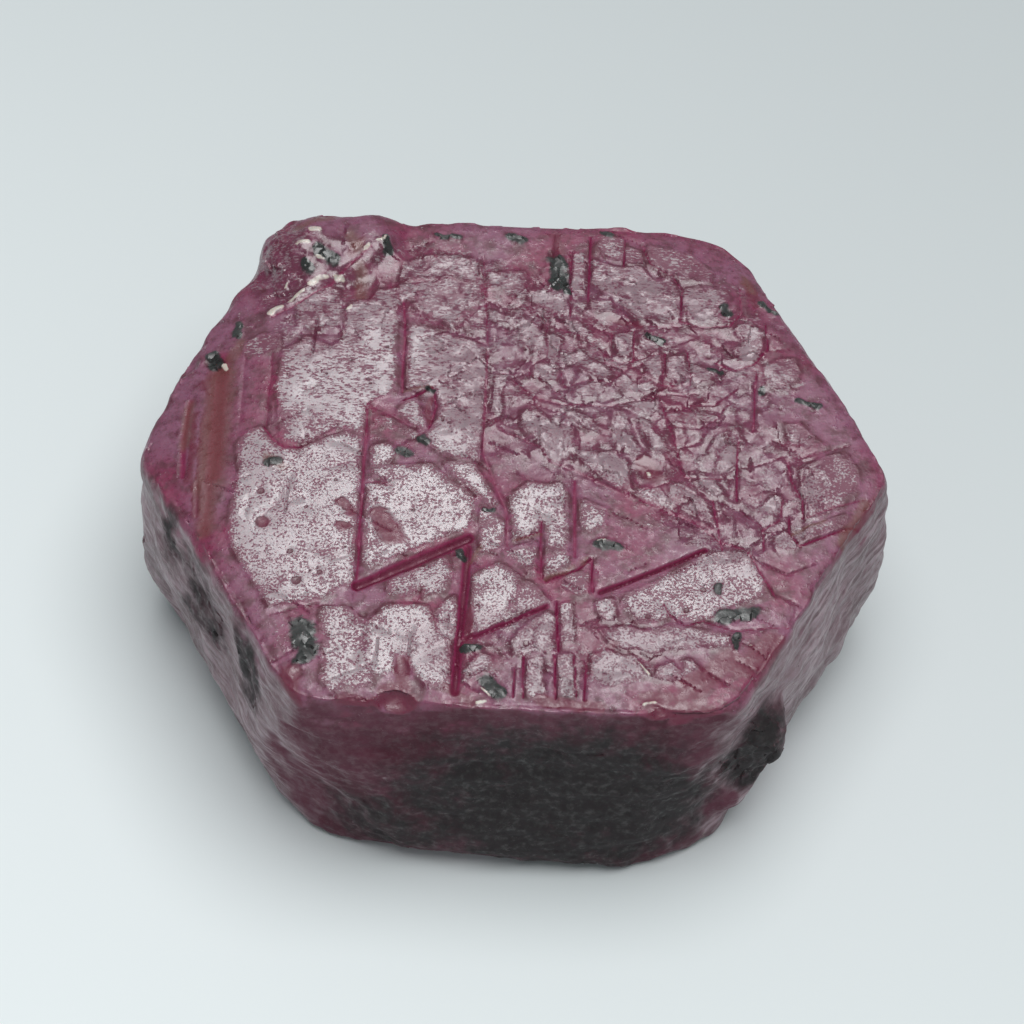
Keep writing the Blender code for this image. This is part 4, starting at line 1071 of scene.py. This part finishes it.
def ruby_colour(graph, mottle, grain, border, frost_and_sheen):
    """The colour all over, and how far the matrix covers it."""
    broad = graph.noise("broad")
    upper = upper_colour(graph, broad, mottle, border, frost_and_sheen)
    colour = graph.mix(graph.mask("upper"), side_colour(graph, broad), upper)
    patchy = graph.maths("SUBTRACT", mottle, 0.5)
    covered = graph.maths("MULTIPLY_ADD", patchy, MATRIX_BREAKUP, graph.mask("matrix"))
    matrix = graph.rise(covered, 0.08, 0.90)
    dark = graph.mix(graph.rise(grain, 0.35, 0.70), MATRIX_DARK, MATRIX_GREEN)
    colour = graph.mix(matrix, colour, dark)
    patchy = graph.maths("SUBTRACT", grain, 0.5)
    colour = graph.mix(broken_mask(graph, "crimson", patchy, 0.25, 0.80), colour, CRIMSON_SPOT)
    colour = graph.mix(graph.rise(graph.mask("rust"), 0.0, 1.0, 0.0, 0.62), colour, RUST)
    colour = graph.mix(broken_mask(graph, "inclusion", patchy, 0.25, 0.75), colour, dark)
    return graph.mix(broken_mask(graph, "pale", patchy, 0.65, 1.00), colour, CRUMB_CREAM), matrix


def ruby_roughness(graph, mottle, grain, border, frost_and_sheen, matrix):
    side = graph.rise(grain, 0.40, 0.65, *MATT_SIDE)
    side = graph.blend(graph.mask("film_and_sheen"), side, graph.rise(grain, 0.40, 0.65, *FILM_AND_SHEEN_SIDE))
    upper = graph.blend(border, graph.rise(grain, 0.38, 0.66, *MATT_GROUND), PLATE_ROUGHNESS)
    dull = graph.blend(graph.mask("upper"), side, upper)
    dull = graph.blend(matrix, dull, graph.rise(grain, 0.50, 0.75, *MATRIX_ROUGHNESS))
    glassy = graph.times(graph.mask("facets"), graph.rise(mottle, 0.36, 0.52, 0.35, 1.0))
    return graph.blend(glassy, graph.blend(frost_and_sheen, dull, FROST_AND_SHEEN_ROUGHNESS), GLASS_ROUGHNESS)


def ruby_gloss(graph, border, frost_and_sheen, matrix):
    """Tint of the reflections, fainter where the surface is broken or bare."""
    bare = graph.maths("SUBTRACT", 1.0, graph.most(graph.mask("upper"), graph.mask("film_and_sheen")))
    faint = graph.most(graph.most(matrix, bare), graph.rise(graph.mask("furrow"), 0.1, 0.6))
    without_frost_and_sheen = graph.maths("SUBTRACT", border, frost_and_sheen)
    return graph.mix(graph.most(faint, graph.times(without_frost_and_sheen, 0.45)), FULL_GLOSS, FAINT_GLOSS)


def ruby_grain(graph, mottle, grain, border, frost_and_sheen, matrix):
    """Fine relief beyond the mesh, fainter on the plates and the matrix."""
    smooth = graph.most(border, graph.times(matrix, 0.85))
    smooth = graph.most(smooth, graph.times(graph.mask("facets"), 0.6))
    off_plate = graph.maths("SUBTRACT", 1.0, smooth)
    normal = graph.bump(graph.times(mottle, off_plate), 0.08, 0.6)
    normal = graph.bump(graph.times(grain, off_plate), 0.06, 0.8, under=normal)
    return graph.bump(frost_and_sheen, 0.012, 0.6, under=normal)


def ruby_material():
    graph = Graph("ruby")
    mottle = graph.noise("mottle")
    grain = graph.noise("grain")
    border, frost_and_sheen = plate_masks(graph)
    marked = graph.most(graph.most(graph.mask("inclusion"), graph.mask("crimson")), graph.mask("pit"))
    unmarked = graph.maths("SUBTRACT", 1.0, graph.rise(marked, 0.2, 0.7))
    frost_and_sheen = graph.times(frost_and_sheen, unmarked)
    border = graph.times(border, unmarked)
    colour, matrix = ruby_colour(graph, mottle, grain, border, frost_and_sheen)
    graph.fill(graph.shader, {
        "Base Color": colour,
        "Roughness": ruby_roughness(graph, mottle, grain, border, frost_and_sheen, matrix),
        "IOR": CORUNDUM_IOR,
        "Specular Tint": ruby_gloss(graph, border, frost_and_sheen, matrix),
        "Subsurface Weight": GLOW_SHARE,
        "Subsurface Radius": GLOW_COLOUR,
        "Subsurface Scale": GLOW_REACH * MM,
        "Normal": ruby_grain(graph, mottle, grain, border, frost_and_sheen, matrix),
    })
    return graph.material


# ---------------------------------------------------------------- stage


def make_floor():
    """A plain pale sheet, a little darker towards the back right."""
    bpy.ops.mesh.primitive_plane_add(size=FLOOR_SIDE, location=(0.0, 0.0, 0.0))
    floor = bpy.context.object
    floor.name = "floor"
    graph = Graph("pale floor")
    backwards = graph.maths("ADD", graph.along("X"), graph.along("Y"))
    colour = graph.mix(graph.rise(backwards, -FLOOR_FADE, FLOOR_FADE), FLOOR_FRONT, FLOOR_BACK)
    graph.fill(graph.shader, {"Base Color": colour, "Roughness": FLOOR_ROUGHNESS})
    floor.data.materials.append(graph.material)


def aimed_at(location, target):
    """Matrix of a camera or light at location that looks at target."""
    away = Vector(location) - Vector(target)
    turn = away.to_track_quat("Z", "Y")
    return Matrix.Translation(location) @ turn.to_matrix().to_4x4()


def make_softbox(name, azimuth, elevation, distance, width, brightness, lights_matt):
    """A round light that looks at the crystal."""
    lamp = bpy.data.lights.new(name, "AREA")
    lamp.shape = "DISK"
    lamp.size = width
    lamp.energy = brightness * math.pi * math.pi * (width / 2.0) ** 2
    softbox = bpy.data.objects.new(name, lamp)
    bpy.context.scene.collection.objects.link(softbox)
    softbox.matrix_world = aimed_at(Vector(direction(azimuth, elevation)) * distance, (0.0, 0.0, 0.0))
    softbox.visible_diffuse = lights_matt


def make_world():
    world = bpy.data.worlds.new("pale room")
    bpy.context.scene.world = world
    world.use_nodes = True
    background = world.node_tree.nodes["Background"]
    background.inputs["Color"].default_value = ROOM_COLOUR
    background.inputs["Strength"].default_value = ROOM_BRIGHTNESS


def make_camera(shift):
    back = Vector(direction(CAMERA_AZIMUTH, CAMERA_ELEVATION))
    aim = (Vector(AIM) - Vector(shift)) * MM
    camera = bpy.data.cameras.new("camera")
    camera.sensor_width = SENSOR_MM
    camera.lens = FOCAL_PIXELS / PHOTO_SIDE_PIXELS * SENSOR_MM
    camera.clip_start = NEAREST_SEEN
    holder = bpy.data.objects.new("camera", camera)
    bpy.context.scene.collection.objects.link(holder)
    place = aim + back * (FOCAL_PIXELS / PIXELS_PER_MM * MM)
    holder.matrix_world = aimed_at(place, aim)
    bpy.context.scene.camera = holder


def main():
    crystal, shift = make_crystal()
    crystal.data.materials.append(ruby_material())
    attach(crystal, "root")
    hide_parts("ruby_crystal")
    make_floor()
    make_world()
    for softbox in SOFTBOXES:
        make_softbox(*softbox)
    make_camera(shift)
    bpy.context.scene.view_settings.view_transform = "Standard"


main()
